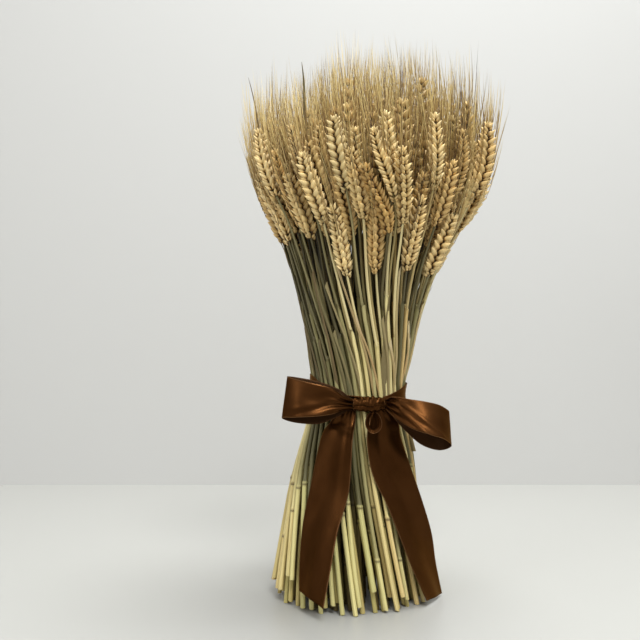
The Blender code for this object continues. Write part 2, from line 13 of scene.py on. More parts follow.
import bpy
import numpy as np
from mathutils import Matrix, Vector


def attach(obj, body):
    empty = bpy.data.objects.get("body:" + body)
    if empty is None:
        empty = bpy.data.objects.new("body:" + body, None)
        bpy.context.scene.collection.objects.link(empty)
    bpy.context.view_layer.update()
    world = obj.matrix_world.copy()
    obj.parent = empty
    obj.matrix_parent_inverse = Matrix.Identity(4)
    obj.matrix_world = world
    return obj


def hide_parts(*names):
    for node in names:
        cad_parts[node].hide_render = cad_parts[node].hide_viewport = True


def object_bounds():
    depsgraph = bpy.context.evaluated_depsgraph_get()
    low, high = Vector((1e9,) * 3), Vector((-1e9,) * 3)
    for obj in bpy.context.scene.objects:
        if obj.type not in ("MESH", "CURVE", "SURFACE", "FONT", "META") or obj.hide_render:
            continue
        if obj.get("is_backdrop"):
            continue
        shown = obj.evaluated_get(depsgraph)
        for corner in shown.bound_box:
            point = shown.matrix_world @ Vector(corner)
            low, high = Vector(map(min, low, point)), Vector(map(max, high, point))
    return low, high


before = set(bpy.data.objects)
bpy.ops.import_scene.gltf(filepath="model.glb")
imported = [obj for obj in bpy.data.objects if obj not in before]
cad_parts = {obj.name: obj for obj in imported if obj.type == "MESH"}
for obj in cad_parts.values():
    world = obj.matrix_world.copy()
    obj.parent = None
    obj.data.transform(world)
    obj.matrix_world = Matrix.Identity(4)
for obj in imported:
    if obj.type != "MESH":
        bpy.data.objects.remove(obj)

cad_low, cad_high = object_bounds()
nodes = sorted(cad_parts)
print(len(nodes), "solids, size in mm:", [round(1000 * s, 1) for s in cad_high - cad_low])

# %% [markdown]
# The camera comes first. The photograph was taken from about table-top distance, level with the middle of
# the sheaf and slightly left of it, so the picture has hardly any converging lines. A 53 mm lens at 0.85 m
# gives the same size and the same view of the feet from above. It could be aimed with a constraint, but a
# level camera needs only a quarter turn about X.

# %% Camera
CAMERA_PLACE = (-0.0262, -0.850, 0.245)
CAMERA_LENS = 53.1  # mm, on the usual sensor of 36 mm


def add_camera():
    data = bpy.data.cameras.new("camera")
    data.sensor_width = 36.0
    data.lens = CAMERA_LENS
    camera = bpy.data.objects.new("camera", data)
    camera.location = CAMERA_PLACE
    camera.rotation_euler = (math.radians(90), 0, 0)
    bpy.context.scene.collection.objects.link(camera)
    bpy.context.scene.camera = camera


add_camera()
print("camera", CAMERA_PLACE, "lens", CAMERA_LENS)

# %% [markdown]
# A white table and a pale wall stand behind the sheaf. Both are plain planes, marked as stage so that they
# aren't part of the object. The wall could be a curved sweep, but the photograph shows a crisp line where
# the two meet.

# %% Table and wall
WALL_DISTANCE = 0.552
STAGE_SIZE = 6


def plain_finish(name, colour, roughness):
    made = bpy.data.materials.new(name)
    made.use_nodes = True
    shader = made.node_tree.nodes["Principled BSDF"]
    shader.inputs["Base Color"].default_value = (*colour, 1)
    shader.inputs["Roughness"].default_value = roughness
    return made


def add_plane(name, size, place, turn, finish):
    bpy.ops.mesh.primitive_plane_add(size=size, location=place, rotation=turn)
    plane = bpy.context.object
    plane.name = name
    plane.data.materials.append(finish)
    plane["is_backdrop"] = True


table_white = plain_finish("table_white", (0.345, 0.340, 0.315), 0.4)
wall_white = plain_finish("wall_white", (0.500, 0.497, 0.480), 0.6)
add_plane("table", STAGE_SIZE, (0, WALL_DISTANCE - STAGE_SIZE / 2, 0), (0, 0, 0), table_white)
add_plane("wall", STAGE_SIZE, (0, WALL_DISTANCE, STAGE_SIZE / 2), (math.radians(90), 0, 0), wall_white)
print("wall", WALL_DISTANCE, "m behind the sheaf")

# %% [markdown]
# Soft light from a bright room: a large lamp over the sheaf, a little behind it and to its right, one
# high in front for the ribbon's sheen, and a weak one low on the left. The room itself is a ramp of
# shades, warm and dark near the floor, cool and bright overhead. Satin mirrors it, so folds that face down
# stay deep brown and folds that face up shine. An even grey world would be simpler, but it gives the
# ribbon nothing to mirror. Area lamps give soft edges, where a sun would draw every awn as a hard shadow.

# %% Light
LAMPS = (
    # name, place, watts, size, spread in degrees
    ("overhead", (0.34, 0.14, 2.00), 33.0, 0.9, 150),
    ("window", (0.30, -1.15, 1.75), 17.0, 0.5, 150),
    ("left_fill", (-1.20, -1.10, 0.80), 2.6, 0.4, 150),
)
LAMP_AIM = Vector((0.0, 0.0, 0.25))
LAMP_COLOUR = (0.95, 0.98, 1.0)
ROOM_STRENGTH = 0.80
ROOM_SHADES = (
    # share of the way from straight down to straight up, colour
    (0.25, (0.24, 0.185, 0.13)),
    (0.55, (0.64, 0.585, 0.515)),
    (1.00, (1.66, 1.70, 1.76)),
)


def add_lamp(name, place, watts, size, spread):
    data = bpy.data.lights.new(name, "AREA")
    data.energy = watts
    data.color = LAMP_COLOUR
    data.size = size
    data.spread = math.radians(spread)
    lamp = bpy.data.objects.new(name, data)
    lamp.location = place
    lamp.rotation_euler = (LAMP_AIM - Vector(place)).to_track_quat("-Z", "Y").to_euler()
    bpy.context.scene.collection.objects.link(lamp)


for row in LAMPS:
    add_lamp(*row)
world = bpy.data.worlds.new("room")
world.use_nodes = True
background = world.node_tree.nodes["Background"]
background.inputs["Strength"].default_value = ROOM_STRENGTH
direction = world.node_tree.nodes.new("ShaderNodeTexCoord")
upwards = world.node_tree.nodes.new("ShaderNodeSeparateXYZ")
height = world.node_tree.nodes.new("ShaderNodeMapRange")
shades = world.node_tree.nodes.new("ShaderNodeValToRGB")
height.inputs["From Min"].default_value = -1.0
shades.color_ramp.elements.new(0.5)
for element, (share, colour) in zip(shades.color_ramp.elements, ROOM_SHADES):
    element.position = share
    element.color = (*colour, 1)
for start, end in (
    (direction.outputs["Generated"], upwards.inputs[0]),
    (upwards.outputs["Z"], height.inputs["Value"]),
    (height.outputs[0], shades.inputs["Fac"]),
    (shades.outputs["Color"], background.inputs["Color"]),
):
    world.node_tree.links.new(start, end)
bpy.context.scene.world = world
bpy.context.scene.view_settings.view_transform = "Standard"
print(len(LAMPS), "lamps")

# %% [markdown]
# The outline of the sheaf: how wide the outer ring of straws is at each height, how far its middle has
# moved sideways, and how far the whole bunch has turned. Cubic arcs join the rows, so the straws bend
# without a kink. The rows are those of the solid model, so every stalk stays close to its solid. A drawn
# curve could hold the outline, but a table keeps all four measures of a level together.

# %% Outline
OUTLINE = (
    # height, radius, sideways, twist in degrees
    (0.0000, 0.0695, 0.0000, 28.0),
    (0.0600, 0.0605, 0.0020, 19.0),
    (0.1000, 0.0550, 0.0040, 12.5),
    (0.1300, 0.0495, 0.0060, 7.5),
    (0.1550, 0.0432, 0.0074, 3.5),
    (0.1775, 0.0396, 0.0080, 0.0),
    (0.1980, 0.0410, 0.0090, -5.0),
    (0.2150, 0.0440, 0.0100, -10.0),
    (0.2500, 0.0515, 0.0110, -20.0),
    (0.2900, 0.0640, 0.0135, -28.0),
    (0.3300, 0.0810, 0.0185, -34.0),
    (0.3700, 0.0990, 0.0200, -38.0),
    (0.4100, 0.1045, 0.0200, -41.0),
    (0.4600, 0.1050, 0.0195, -43.0),
)
WAIST = 0.1775
CROWN = 0.3775


def smoothstep(x):
    x = np.clip(x, 0.0, 1.0)
    return x * x * (3.0 - 2.0 * x)


def outline(heights):
    """Radius, sideways place and twist in radians at these heights, on cubic arcs through OUTLINE."""
    table = np.array(OUTLINE)
    at, values = table[:, 0], table[:, 1:]
    slopes = np.gradient(values, at, axis=0)
    heights = np.clip(np.asarray(heights, float), at[0], at[-1])
    k = np.clip(np.searchsorted(at, heights, side="right") - 1, 0, len(at) - 2)
    span = (at[k + 1] - at[k])[:, None]
    t = ((heights - at[k]) / span[:, 0])[:, None]
    rise = t * t * (3 - 2 * t)
    found = (
        values[k] * (1 - rise)
        + values[k + 1] * rise
        + slopes[k] * span * t * (1 - t) ** 2
        - slopes[k + 1] * span * t * t * (1 - t)
    )
    return found[:, 0], found[:, 1], np.radians(found[:, 2])


waist_radius = outline([WAIST])[0][0]
print("waist", round(2000 * waist_radius, 1), "mm across the straws' middles")

# %% [markdown]
# Every stalk is planned before any is drawn: its ring, its angle, how high its ear sits, and the small
# irregularities that nature adds. The first five rings are the stalks of the solid model, drawn from the
# same seed in the same order, so they come out in the same places. The rings after them fill the gaps that
# the model leaves between its stalks. They could be scattered at random, but a real bunch packs evenly.

# %% Plan the stalks
MODEL_RINGS = (
    # stalks, share of the outline, turn in degrees, lowest and highest foot of an ear
    (46, 1.00, 0.0, (0.283, 0.362)),
    (22, 0.77, 7.0, (0.322, 0.374)),
    (15, 0.54, 3.0, (0.345, 0.385)),
    (9, 0.30, 11.0, (0.358, 0.392)),
    (1, 0.00, 0.0, (0.388, 0.388)),
)
EXTRA_RINGS = (
    (46, 0.915, 3.9, (0.288, 0.350)),
    (22, 0.83, 15.2, (0.318, 0.364)),
    (18, 0.66, 12.0, (0.335, 0.376)),
    (12, 0.42, 18.0, (0.350, 0.384)),
    (5, 0.16, 31.0, (0.362, 0.390)),
)
MODEL_SEED = 27
EXTRA_SEED = 41
EAR_LENGTH = (0.058, 0.070)
FOOT_SPREAD = 0.035
CROWN_SPREAD = 0.075
TURN_SPREAD = 0.030
EDGE_ON_SHARE = 0.4
LIFTED_EVERY, LIFTED_BY = 4, 0.007


class Stalk:
    """One straw with its ear, and the chances that shaped it."""

    def __init__(self, ring, place, share, angle, ear_foot, rng):
        self.ring = ring
        self.share = share
        self.angle = angle
        self.ear_foot = ear_foot
        self.ear_length = rng.uniform(*EAR_LENGTH)
        self.foot_swell = rng.uniform(-1, 1) * FOOT_SPREAD
        self.crown_swell = rng.uniform(-1, 1) * CROWN_SPREAD
        self.crown_turn = rng.uniform(-1, 1) * TURN_SPREAD
        self.roll = rng.uniform(-1, 1) * math.pi / 4
        self.edge_on = rng.random() < EDGE_ON_SHARE
        self.lift = LIFTED_BY if ring == 0 and place % LIFTED_EVERY == 1 else 0.0


def plan(rings, seed, first_ring):
    rng = random.Random(seed)
    found = []
    for ring, (count, share, turn, (low, high)) in enumerate(rings, first_ring):
        for place in range(count):
            angle = math.radians(turn) + math.tau * place / count
            tier = (0.0, 1.0, 0.5)[place % 3] if ring == 0 else rng.random()
            ear_foot = low + (high - low) * tier + rng.uniform(-0.004, 0.004) * (share > 0)
            found.append(Stalk(ring, place, share, angle, ear_foot, rng))
    return found


model_stalks = plan(MODEL_RINGS, MODEL_SEED, 0)
extra_stalks = plan(EXTRA_RINGS, EXTRA_SEED, len(MODEL_RINGS))
stalks = model_stalks + extra_stalks
print(len(model_stalks), "stalks of the model and", len(extra_stalks), "between them")

# %% [markdown]
# The stalks start on their share of the outline. Where two would touch they are pushed apart, a little in
# each round, at every level above the tie. A physics simulation could do this, but plain discs in a plane
# settle in a few seconds and give the same result each time. The model's stalks settle first, without the
# others, as their solids did. Then they are held, and the others find room between them. After that every
# straw gets small bends of its own. Last, some ears move along their straws, as the photograph asks: the
# highest of the outer ring come down a little, and those on the left go up.

# %% Lay the stalks out
LEVEL_STEP = 0.010
LEVELS = np.arange(0.0, 0.475, LEVEL_STEP)
FREE_ABOVE, FREE_FULLY = 0.205, 0.260
EAR_HALF_WIDTH, EAR_HALF_DEPTH = 0.0062, 0.0050
MODEL_ROUNDS, EXTRA_ROUNDS = 160, 90


def model_culm_radius(height):
    return 0.0021 - 0.0007 * min(1.0, max(0.0, height / 0.30))


def wanted_track(stalk):
    radius, middle, twist = outline(LEVELS)
    below = np.clip(1 - LEVELS / WAIST, 0, 1)
    above = smoothstep((LEVELS - WAIST) / (CROWN - WAIST))
    reach = stalk.share * radius * (1 + stalk.foot_swell * below + stalk.crown_swell * above)
    turn = stalk.angle + twist + stalk.crown_turn * above
    return np.column_stack([middle + reach * np.cos(turn), reach * np.sin(turn)])


def filled_radius(stalk):
    along = (LEVELS - stalk.ear_foot) / (stalk.ear_length * 0.93)
    belly = np.sqrt(np.sin(np.pi * np.clip(0.07 + 0.86 * along, 0, 1)))
    straw = np.array([model_culm_radius(h) for h in LEVELS]) * 1.15
    ear = np.maximum(EAR_HALF_WIDTH * 1.12 * belly, 0.002)
    return np.where(along < 0, straw, np.where(along < 1.08, ear, 0.0))


def settle(wanted, filled, loose, rounds, limit=None):
    """Pushes the loose tracks away from every track they touch, and keeps them inside the limit."""
    free = smoothstep((LEVELS - FREE_ABOVE) / (FREE_FULLY - FREE_ABOVE))[None, :, None]
    moved = np.zeros_like(wanted[loose])
    _, middle, _ = outline(LEVELS)
    present = (filled[loose, None] > 0) & (filled[None] > 0)
    present &= (loose[:, None] != np.arange(len(wanted))[None])[:, :, None]
    room = np.where(present, filled[loose, None] + filled[None] + 0.0010, 0.0)
    points = wanted.copy()
    for _ in range(rounds):
        points[loose] = wanted[loose] + moved
        apart = points[loose, None] - points[None]
        distance = np.sqrt((apart**2).sum(axis=3)) + 1e-9
        push = np.clip(room - distance, 0, None) / distance
        moved = moved + 0.45 * (apart * push[..., None]).sum(axis=1) * free
        moved[:, 1:-1] = (moved[:, :-2] + 2 * moved[:, 1:-1] + moved[:, 2:]) / 4
        moved = moved * free
        if limit is not None:
            there = wanted[loose] + moved
            there[..., 0] -= middle
            far = np.linalg.norm(there, axis=2, keepdims=True)
            moved = moved - there * np.clip(1 - limit[:, None] / far, 0, None) * free
    points[loose] = wanted[loose] + moved
    return points


def irregular(stalk, rng):
    """The small bends of a grown straw: none in the tie, more towards both ends, half as much in ring 0."""
    loose = 0.5 if stalk.ring == 0 else 1.0
    above = smoothstep((LEVELS - 0.200) / 0.080)
    below = smoothstep((0.145 - LEVELS) / 0.120)
    wave = math.tau * LEVELS / rng.uniform(0.10, 0.19)
    nod = smoothstep((LEVELS - stalk.ear_foot + 0.030) / 0.100)
    sideways = rng.uniform(0.0005, 0.0016) * np.sin(wave + rng.uniform(0, math.tau)) * above
    sideways += rng.uniform(-1, 1) * 0.0050 * nod + rng.uniform(-1, 1) * 0.0070 * below
    outwards = 0.0008 * np.sin(wave + rng.uniform(0, math.tau)) * above - rng.uniform(0, 0.0030) * below
    turn = stalk.angle + outline(LEVELS)[2]
    out, across = np.array([np.cos(turn), np.sin(turn)]), np.array([-np.sin(turn), np.cos(turn)])
    return loose * (out * outwards + across * sideways).T


def lay_out():
    wanted = np.array([wanted_track(s) for s in stalks])
    filled = np.array([filled_radius(s) for s in stalks])
    first = len(model_stalks)
    settled = settle(wanted[:first], filled[:first], np.arange(first), MODEL_ROUNDS)
    tracks = np.concatenate([settled, wanted[first:]])
    limit = outline(LEVELS)[0] * 1.02
    tracks = settle(tracks, filled, np.arange(first, len(stalks)), EXTRA_ROUNDS, limit)
    rng = random.Random(3)
    for s, track in zip(stalks, tracks):
        s.path = np.column_stack([track + irregular(s, rng), LEVELS])


def point_on(stalk, heights):
    """Points of the stalk's path at these heights. Over the last level it runs straight on."""
    heights = np.atleast_1d(np.asarray(heights, float))
    path = stalk.path
    over = np.clip(heights - path[-1, 2], 0, None)[:, None] / (2 * LEVEL_STEP)
    flat = np.column_stack([np.interp(heights, path[:, 2], path[:, k]) for k in range(2)])
    return np.column_stack([flat + (path[-1, :2] - path[-3, :2]) * over, heights])


lay_out()
LOWEST_FOOT, HIGHEST_FOOT = MODEL_RINGS[0][3]
HIGHEST_OUTER_EAR = 0.349
LEFT_SIDE, LEFT_EARS_FROM = math.radians(203), 0.312


def on_the_left(stalk, half_width):
    """Whether this stalk stands on the left of the crown, within this many degrees."""
    place = stalk.angle + float(outline([CROWN])[2][0]) - LEFT_SIDE
    return abs(math.remainder(place, math.tau)) < math.radians(half_width)


for s in stalks:
    if s.ring == 0:
        s.ear_foot = min(s.ear_foot, HIGHEST_OUTER_EAR + 0.12 * (s.ear_foot - HIGHEST_FOOT))
    if on_the_left(s, 36):
        s.ear_foot = max(s.ear_foot, LEFT_EARS_FROM + 0.3 * (s.ear_foot - LOWEST_FOOT))
first_waist = point_on(stalks[0], WAIST)[0]
print("outer stalk 1 at the waist:", [round(1000 * float(c), 1) for c in first_waist], "mm")

# %% [markdown]
# The sheaf is thousands of small bodies: straws, glumes, awns. One object for each would be slow, so a pile
# collects the points and faces of many bodies and turns them into one mesh. With each point go two
# attributes that the materials read. "look" holds chances and marks, such as the stalk's own tint, and
# "grain" holds a place along and around the fibre, so that streaks run with the straw and have no seam.

# %% A pile of small bodies


class Pile:
    """Collects bodies, then makes one mesh of them."""

    def __init__(self):
        self.points, self.looks, self.grains, self.triangles, self.quads = [], [], [], [], []
        self.count = 0

    def add(self, points, triangles, quads, look, grain):
        points = np.asarray(points, float)
        self.points.append(points)
        self.looks.append(np.broadcast_to(look, (len(points), 3)))
        self.grains.append(np.broadcast_to(grain, (len(points), 3)))
        self.triangles.append(np.asarray(triangles, int).reshape(-1, 3) + self.count)
        self.quads.append(np.asarray(quads, int).reshape(-1, 4) + self.count)
        self.count += len(points)

    def mesh(self, name, finish, sharp=70.0):
        triangles, quads = np.concatenate(self.triangles), np.concatenate(self.quads)
        mesh = bpy.data.meshes.new(name)
        mesh.vertices.add(self.count)
        mesh.vertices.foreach_set("co", np.concatenate(self.points).astype(np.float32).ravel())
        mesh.loops.add(triangles.size + quads.size)
        corners = np.concatenate([triangles.ravel(), quads.ravel()])
        mesh.loops.foreach_set("vertex_index", corners.astype(np.int32))
        sizes = np.repeat([3, 4], [len(triangles), len(quads)])
        mesh.polygons.add(len(sizes))
        mesh.polygons.foreach_set("loop_start", (np.cumsum(sizes) - sizes).astype(np.int32))
        mesh.update(calc_edges=True)
        for label, values in (("look", self.looks), ("grain", self.grains)):
            layer = mesh.attributes.new(label, "FLOAT_VECTOR", "POINT")
            layer.data.foreach_set("vector", np.concatenate(values).astype(np.float32).ravel())
        mesh.shade_smooth()
        mesh.set_sharp_from_angle(angle=math.radians(sharp))
        mesh.materials.append(finish)
        piece = bpy.data.objects.new(name, mesh)
        bpy.context.scene.collection.objects.link(piece)
        return piece


def put(pile, name, finish, stands_for=()):
    """Makes the pile's piece, says what it rides on, and hides the solids that it stands for."""
    piece = pile.mesh(name, finish)
    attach(piece, "root")
    if stands_for:
        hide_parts(*stands_for)
    faces = sum(2 * len(q) for q in pile.quads) + sum(len(t) for t in pile.triangles)
    print(f"{name}: {faces} triangles")
    return piece


def tube_faces(rings, sides, closed_top=False):
    """Quads between rings of points that follow one another, and a fan to a last single point."""
    around = np.arange(sides)
    nxt = (around + 1) % sides
    quads = [
        np.column_stack([a + around, a + nxt, a + sides + nxt, a + sides + around])
        for a in range(0, (rings - 1) * sides, sides)
    ]
    tip = rings * sides
    top = tip - sides
    fan = np.zeros((0, 3), int)
    if closed_top:
        fan = np.column_stack([top + around, top + nxt, np.full(sides, tip)])
    return np.concatenate(quads), fan


print("a tube of 3 rings of 6:", len(tube_faces(3, 6)[0]), "quads")

# %% [markdown]
# A straw is a chain of tubes, hollow at its cut end. Under the node you see the bare culm, thick, smooth
# and straw-yellow.
# The node is a swollen ring with a dark line. Over it the straw is wrapped in its leaf sheath, duller and
# greener, until the sheath ends in a slanted, torn collar and lets out the thin neck that carries the ear.
# The straws at the front left lie in shade, and that shade is painted: their tint comes from the dull end of
# its range.
# A bevelled curve could draw the tube, but a list of rings lets the radius step at the collar and the node,
# and lets the cut end be hollow.

# %% Straws
STRAW_SIDES = 8
NODE_HEIGHTS = (0.030, 0.125)
COLLAR_HEIGHTS = (0.198, 0.285)
COLLAR_SLANT = 0.0030
HOLLOW = 0.62  # of the radius
HOLLOW_DEPTH = 0.008
FOOT_RADIUS, SHEATH_RADIUS, NECK_RADIUS, EAR_NECK_RADIUS = 0.00215, 0.00182, 0.00130, 0.00105
SHADED_SIDE = math.radians(228)


def foot_lift(stalk, rng):
    """How much shorter than its neighbours a straw was cut. The left of the sheaf is cut the highest."""
    chance = rng.random()
    lift = 0.012 * max(0.0, chance - 0.55) / 0.45
    if stalk.ring == 0 and abs(math.remainder(stalk.angle - math.radians(165), math.tau)) < math.radians(38):
        lift += rng.uniform(0.004, 0.014)
    return lift


def straw_profile(stalk, rng):
    """Rows of height, radius, slant, part (0 culm, 1 sheath, 2 neck) and mark, from the cut end up."""
    size = rng.uniform(0.86, 1.12)
    foot = stalk.lift + 0.0004 + foot_lift(stalk, rng)
    node = rng.uniform(*NODE_HEIGHTS)
    collar = min(rng.uniform(*COLLAR_HEIGHTS), stalk.ear_foot - 0.030)
    bare, sheath, neck = (r * size for r in (FOOT_RADIUS, SHEATH_RADIUS, NECK_RADIUS))
    ear_neck = EAR_NECK_RADIUS * size
    swell = 1.17 * bare
    cut = rng.uniform(-1, 1) * 0.0006
    # The last number is a mark that darkens the colour. Inside the hollow cut end it is painted shade; at the
    # node it is the node's own dark line; the collar and the part inside the ear are a little darker too.
    rows = [
        (foot + HOLLOW_DEPTH, bare * HOLLOW, 0, 0, 1.0),
        (foot, bare * HOLLOW, cut, 0, 0.6),
        (foot, bare, cut, 0, 0.25),
        (foot + 0.010, bare, 0, 0, 0),
    ]
    rows += [(h, bare, 0, 0, 0) for h in np.arange(foot + 0.024, node - 0.008, 0.024)]
    rows += [
        (node - 0.0045, bare * 0.98, 0, 0, 0.0),
        (node - 0.0020, bare * 1.00, 0, 0, 0.25),
        (node - 0.0008, swell, 0, 0, 1.0),
        (node + 0.0010, swell, 0, 0, 0.45),
        (node + 0.0024, sheath * 1.04, 0, 1, 0.05),
    ]
    rows += [(h, sheath, 0, 1, 0) for h in np.arange(node + 0.015, collar - 0.012, 0.020)]
    rows += [
        (collar - 0.006, sheath, 0, 1, 0.0),
        (collar, sheath * 1.05, COLLAR_SLANT, 1, 0.30),
        (collar, neck, COLLAR_SLANT, 2, 0.35),
        (collar + 0.006, neck, 0, 2, 0.0),
    ]
    over = stalk.ear_foot - collar
    steps = max(2, int(over / 0.014))
    for k in range(1, steps + 1):
        share = k / steps
        rows.append((collar + 0.006 + (over - 0.005) * share, neck + (ear_neck - neck) * share, 0, 2, 0))
    rows += [(stalk.ear_foot + h, ear_neck, 0, 2, 0.5) for h in (0.020, 0.038, 0.052)]
    return np.array(rows, float)


def add_straw(pile, stalk, rng):
    rows = straw_profile(stalk, rng)
    left_side_shade = max(0.0, math.cos(stalk.angle - SHADED_SIDE)) ** 2
    # On the front left the tint is pulled to the dull, dark end of its range: painted shade.
    tint = rng.random() * (1 - 0.85 * left_side_shade)
    start = rng.random() * math.tau
    turns = start + math.tau * np.arange(STRAW_SIDES) / STRAW_SIDES
    circle = np.column_stack([np.cos(turns), np.sin(turns), np.zeros(STRAW_SIDES)])
    centres = point_on(stalk, rows[:, 0])
    points = centres[:, None] + circle[None] * rows[:, 1, None, None]
    points[:, :, 2] += rows[:, 2, None] * (1 + np.cos(turns - start))[None]
    points[:, :, 2] = np.maximum(points[:, :, 2], 0.0)
    look = np.zeros_like(points)
    look[..., 0] = tint
    look[..., 1] = rows[:, 3, None] / 2
    look[..., 2] = rows[:, 4, None]
    grain = np.zeros_like(points)
    grain[..., :2] = circle[None, :, :2]
    grain[..., 2] = rows[:, 0, None] * 12 + tint * 40
    quads, _ = tube_faces(len(rows), STRAW_SIDES)
    pile.add(points.reshape(-1, 3), [], quads, look.reshape(-1, 3), grain.reshape(-1, 3))


straw_chance = random.Random(5)
GROUPS = ("outer", "second", "inner")
FULL_RINGS = (0, 5)  # the outer ring, and the one that fills the gaps in it


def group_of(stalk):
    return GROUPS[FULL_RINGS.index(stalk.ring)] if stalk.ring in FULL_RINGS else "inner"


straws = {group: Pile() for group in GROUPS}
for s in stalks:
    add_straw(straws[group_of(s)], s, straw_chance)
print(sum(pile.count for pile in straws.values()), "points in", len(stalks), "straws")

# %% [markdown]
# Dried straw is a satin surface of long fibres. Its colour differs from stalk to stalk, from cream to
# khaki, and along each stalk: yellow at the foot, greener where the sheath kept the light off, grey-green at
# the neck. Three colour ramps pick a colour by the stalk's own tint, the part of the straw chooses among
# them, and stretched noise adds the streaks. Straws deeper in the bunch get a darker copy of the finish,
# which is painted shade for the shadow inside the bunch. A picture texture would need unwrapping, which two
# hundred tubes don't invite.

# %% A small kit for node materials


class Surface:
    """A Principled material with short calls for the nodes that feed it."""

    def __init__(self, name, roughness, **fixed):
        self.material = bpy.data.materials.new(name)
        self.material.use_nodes = True
        self.tree = self.material.node_tree
        self.shader = self.tree.nodes["Principled BSDF"]
        self.shader.inputs["Roughness"].default_value = roughness
        for label, value in fixed.items():
            self.shader.inputs[label.replace("_", " ")].default_value = value

    def node(self, kind, inputs=(), **settings):
        made = self.tree.nodes.new(kind)
        for label, value in settings.items():
            setattr(made, label, value)
        for label, value in dict(inputs).items():
            if isinstance(value, bpy.types.NodeSocket):
                self.tree.links.new(value, made.inputs[label])
            else:
                made.inputs[label].default_value = value
        return made

    def attribute(self, label):
        """The x, y and z of a point attribute, and the vector itself."""
        vector = self.node("ShaderNodeAttribute", attribute_name=label).outputs["Vector"]
        parts = self.node("ShaderNodeSeparateXYZ", {"Vector": vector}).outputs
        return parts["X"], parts["Y"], parts["Z"], vector

    def ramp(self, factor, *stops):
        made = self.node("ShaderNodeValToRGB", {"Fac": factor})
        while len(made.color_ramp.elements) < len(stops):
            made.color_ramp.elements.new(0.5)
        for element, (position, colour) in zip(made.color_ramp.elements, stops):
            element.position = position
            element.color = (*colour, 1)
        return made.outputs["Color"]

    def mix(self, factor, one, other, blend="MIX"):
        made = self.node("ShaderNodeMix", data_type="RGBA", blend_type=blend)
        for socket, value in ((made.inputs[0], factor), (made.inputs[6], one), (made.inputs[7], other)):
            if isinstance(value, bpy.types.NodeSocket):
                self.tree.links.new(value, socket)
            else:
                socket.default_value = (*value, 1) if isinstance(value, tuple) else value
        return made.outputs[2]

    def math(self, operation, one, other=0.5, clamp=False):
        made = self.node("ShaderNodeMath", {0: one, 1: other}, operation=operation, use_clamp=clamp)
        return made.outputs[0]

    def noise(self, vector, stretch, scale, detail=3.0):
        scaled = self.node("ShaderNodeVectorMath", {0: vector, 1: stretch}, operation="MULTIPLY")
        made = self.node(
            "ShaderNodeTexNoise",
            {"Vector": scaled.outputs[0], "Scale": scale, "Detail": detail, "Roughness": 0.6},
        )
        return made.outputs[0]

    def range(self, value, low, high, to_low, to_high):
        made = self.node(
            "ShaderNodeMapRange",
            {"Value": value, "From Min": low, "From Max": high, "To Min": to_low, "To Max": to_high},
        )
        return made.outputs[0]

    def colour(self, socket):
        self.tree.links.new(socket, self.shader.inputs["Base Color"])

    def rough(self, socket):
        self.tree.links.new(socket, self.shader.inputs["Roughness"])

    def bump(self, height, strength, distance):
        made = self.node("ShaderNodeBump", {"Height": height, "Strength": strength, "Distance": distance})
        self.tree.links.new(made.outputs[0], self.shader.inputs["Normal"])


print("kit ready:", Surface("trial", 0.5).shader.name)

# %% Straw finish


def straw_finish(name, depth):
    kit = Surface(name, 0.5, Specular_IOR_Level=0.4)
    tint, part, mark, _ = kit.attribute("look")
    *_, grain = kit.attribute("grain")
    culm = kit.ramp(
        tint,
        (0.0, (0.62, 0.57, 0.23)),
        (0.35, (0.80, 0.69, 0.31)),
        (0.7, (0.72, 0.55, 0.23)),
        (1.0, (0.56, 0.53, 0.20)),
    )
    sheath = kit.ramp(
        tint,
        (0.0, (0.13, 0.115, 0.045)),
        (0.14, (0.28, 0.25, 0.10)),
        (0.30, (0.56, 0.49, 0.22)),
        (0.55, (0.84, 0.72, 0.34)),
        (0.8, (0.60, 0.49, 0.19)),
        (1.0, (0.78, 0.52, 0.21)),
    )
    neck = kit.ramp(
        tint,
        (0.0, (0.10, 0.085, 0.035)),
        (0.16, (0.24, 0.21, 0.09)),
        (0.35, (0.52, 0.45, 0.22)),
        (0.60, (0.84, 0.72, 0.37)),
        (1.0, (0.52, 0.40, 0.16)),
    )
    colour = kit.mix(kit.range(part, 0.0, 0.5, 0, 1), culm, sheath)
    colour = kit.mix(kit.range(part, 0.5, 1.0, 0, 1), colour, neck)
    streaks = kit.noise(grain, (2.2, 2.2, 0.30), 2.4)
    shading = kit.ramp(streaks, (0.30, (0.42, 0.40, 0.36)), (0.58, (1.0, 1.0, 1.0)))
    colour = kit.mix(0.8, colour, shading, "MULTIPLY")
    blotches = kit.noise(grain, (0.4, 0.4, 0.9), 1.0, 2.0)
    brown = kit.ramp(blotches, (0.62, (1.0, 1.0, 1.0)), (0.80, (0.72, 0.56, 0.40)))
    colour = kit.mix(0.8, colour, brown, "MULTIPLY")
    # The mark darkens the straw: painted shade inside the hollow cut end, the node's own dark line at the
    # node.
    colour = kit.mix(kit.range(mark, 0.15, 1.0, 0, 0.85), colour, (0.075, 0.045, 0.016))
    # depth darkens the whole colour: painted shade for straws inside the bunch.
    kit.colour(kit.mix(1.0, colour, depth, "MULTIPLY"))
    kit.rough(kit.range(streaks, 0.2, 0.8, 0.62, 0.40))
    fibres = kit.noise(grain, (9.0, 9.0, 0.25), 3.0, 2.0)
    kit.bump(fibres, 0.35, 0.0004)
    return kit.material


# The second ring and the inner straws get darker copies: painted shade inside the bunch.
straw_material = straw_finish("dried_straw", (1.0, 1.0, 1.0))
second_straw_material = straw_finish("second_straw", (0.74, 0.69, 0.58))
inner_straw_material = straw_finish("shaded_straw", (0.20, 0.165, 0.105))
outer_nodes = [n for n in nodes if n.startswith("stalk_")]
put(straws["outer"], "outer_straws", straw_material, outer_nodes)
put(straws["second"], "second_straws", second_straw_material)
put(straws["inner"], "inner_straws", inner_straw_material, ["inner_bunch"])
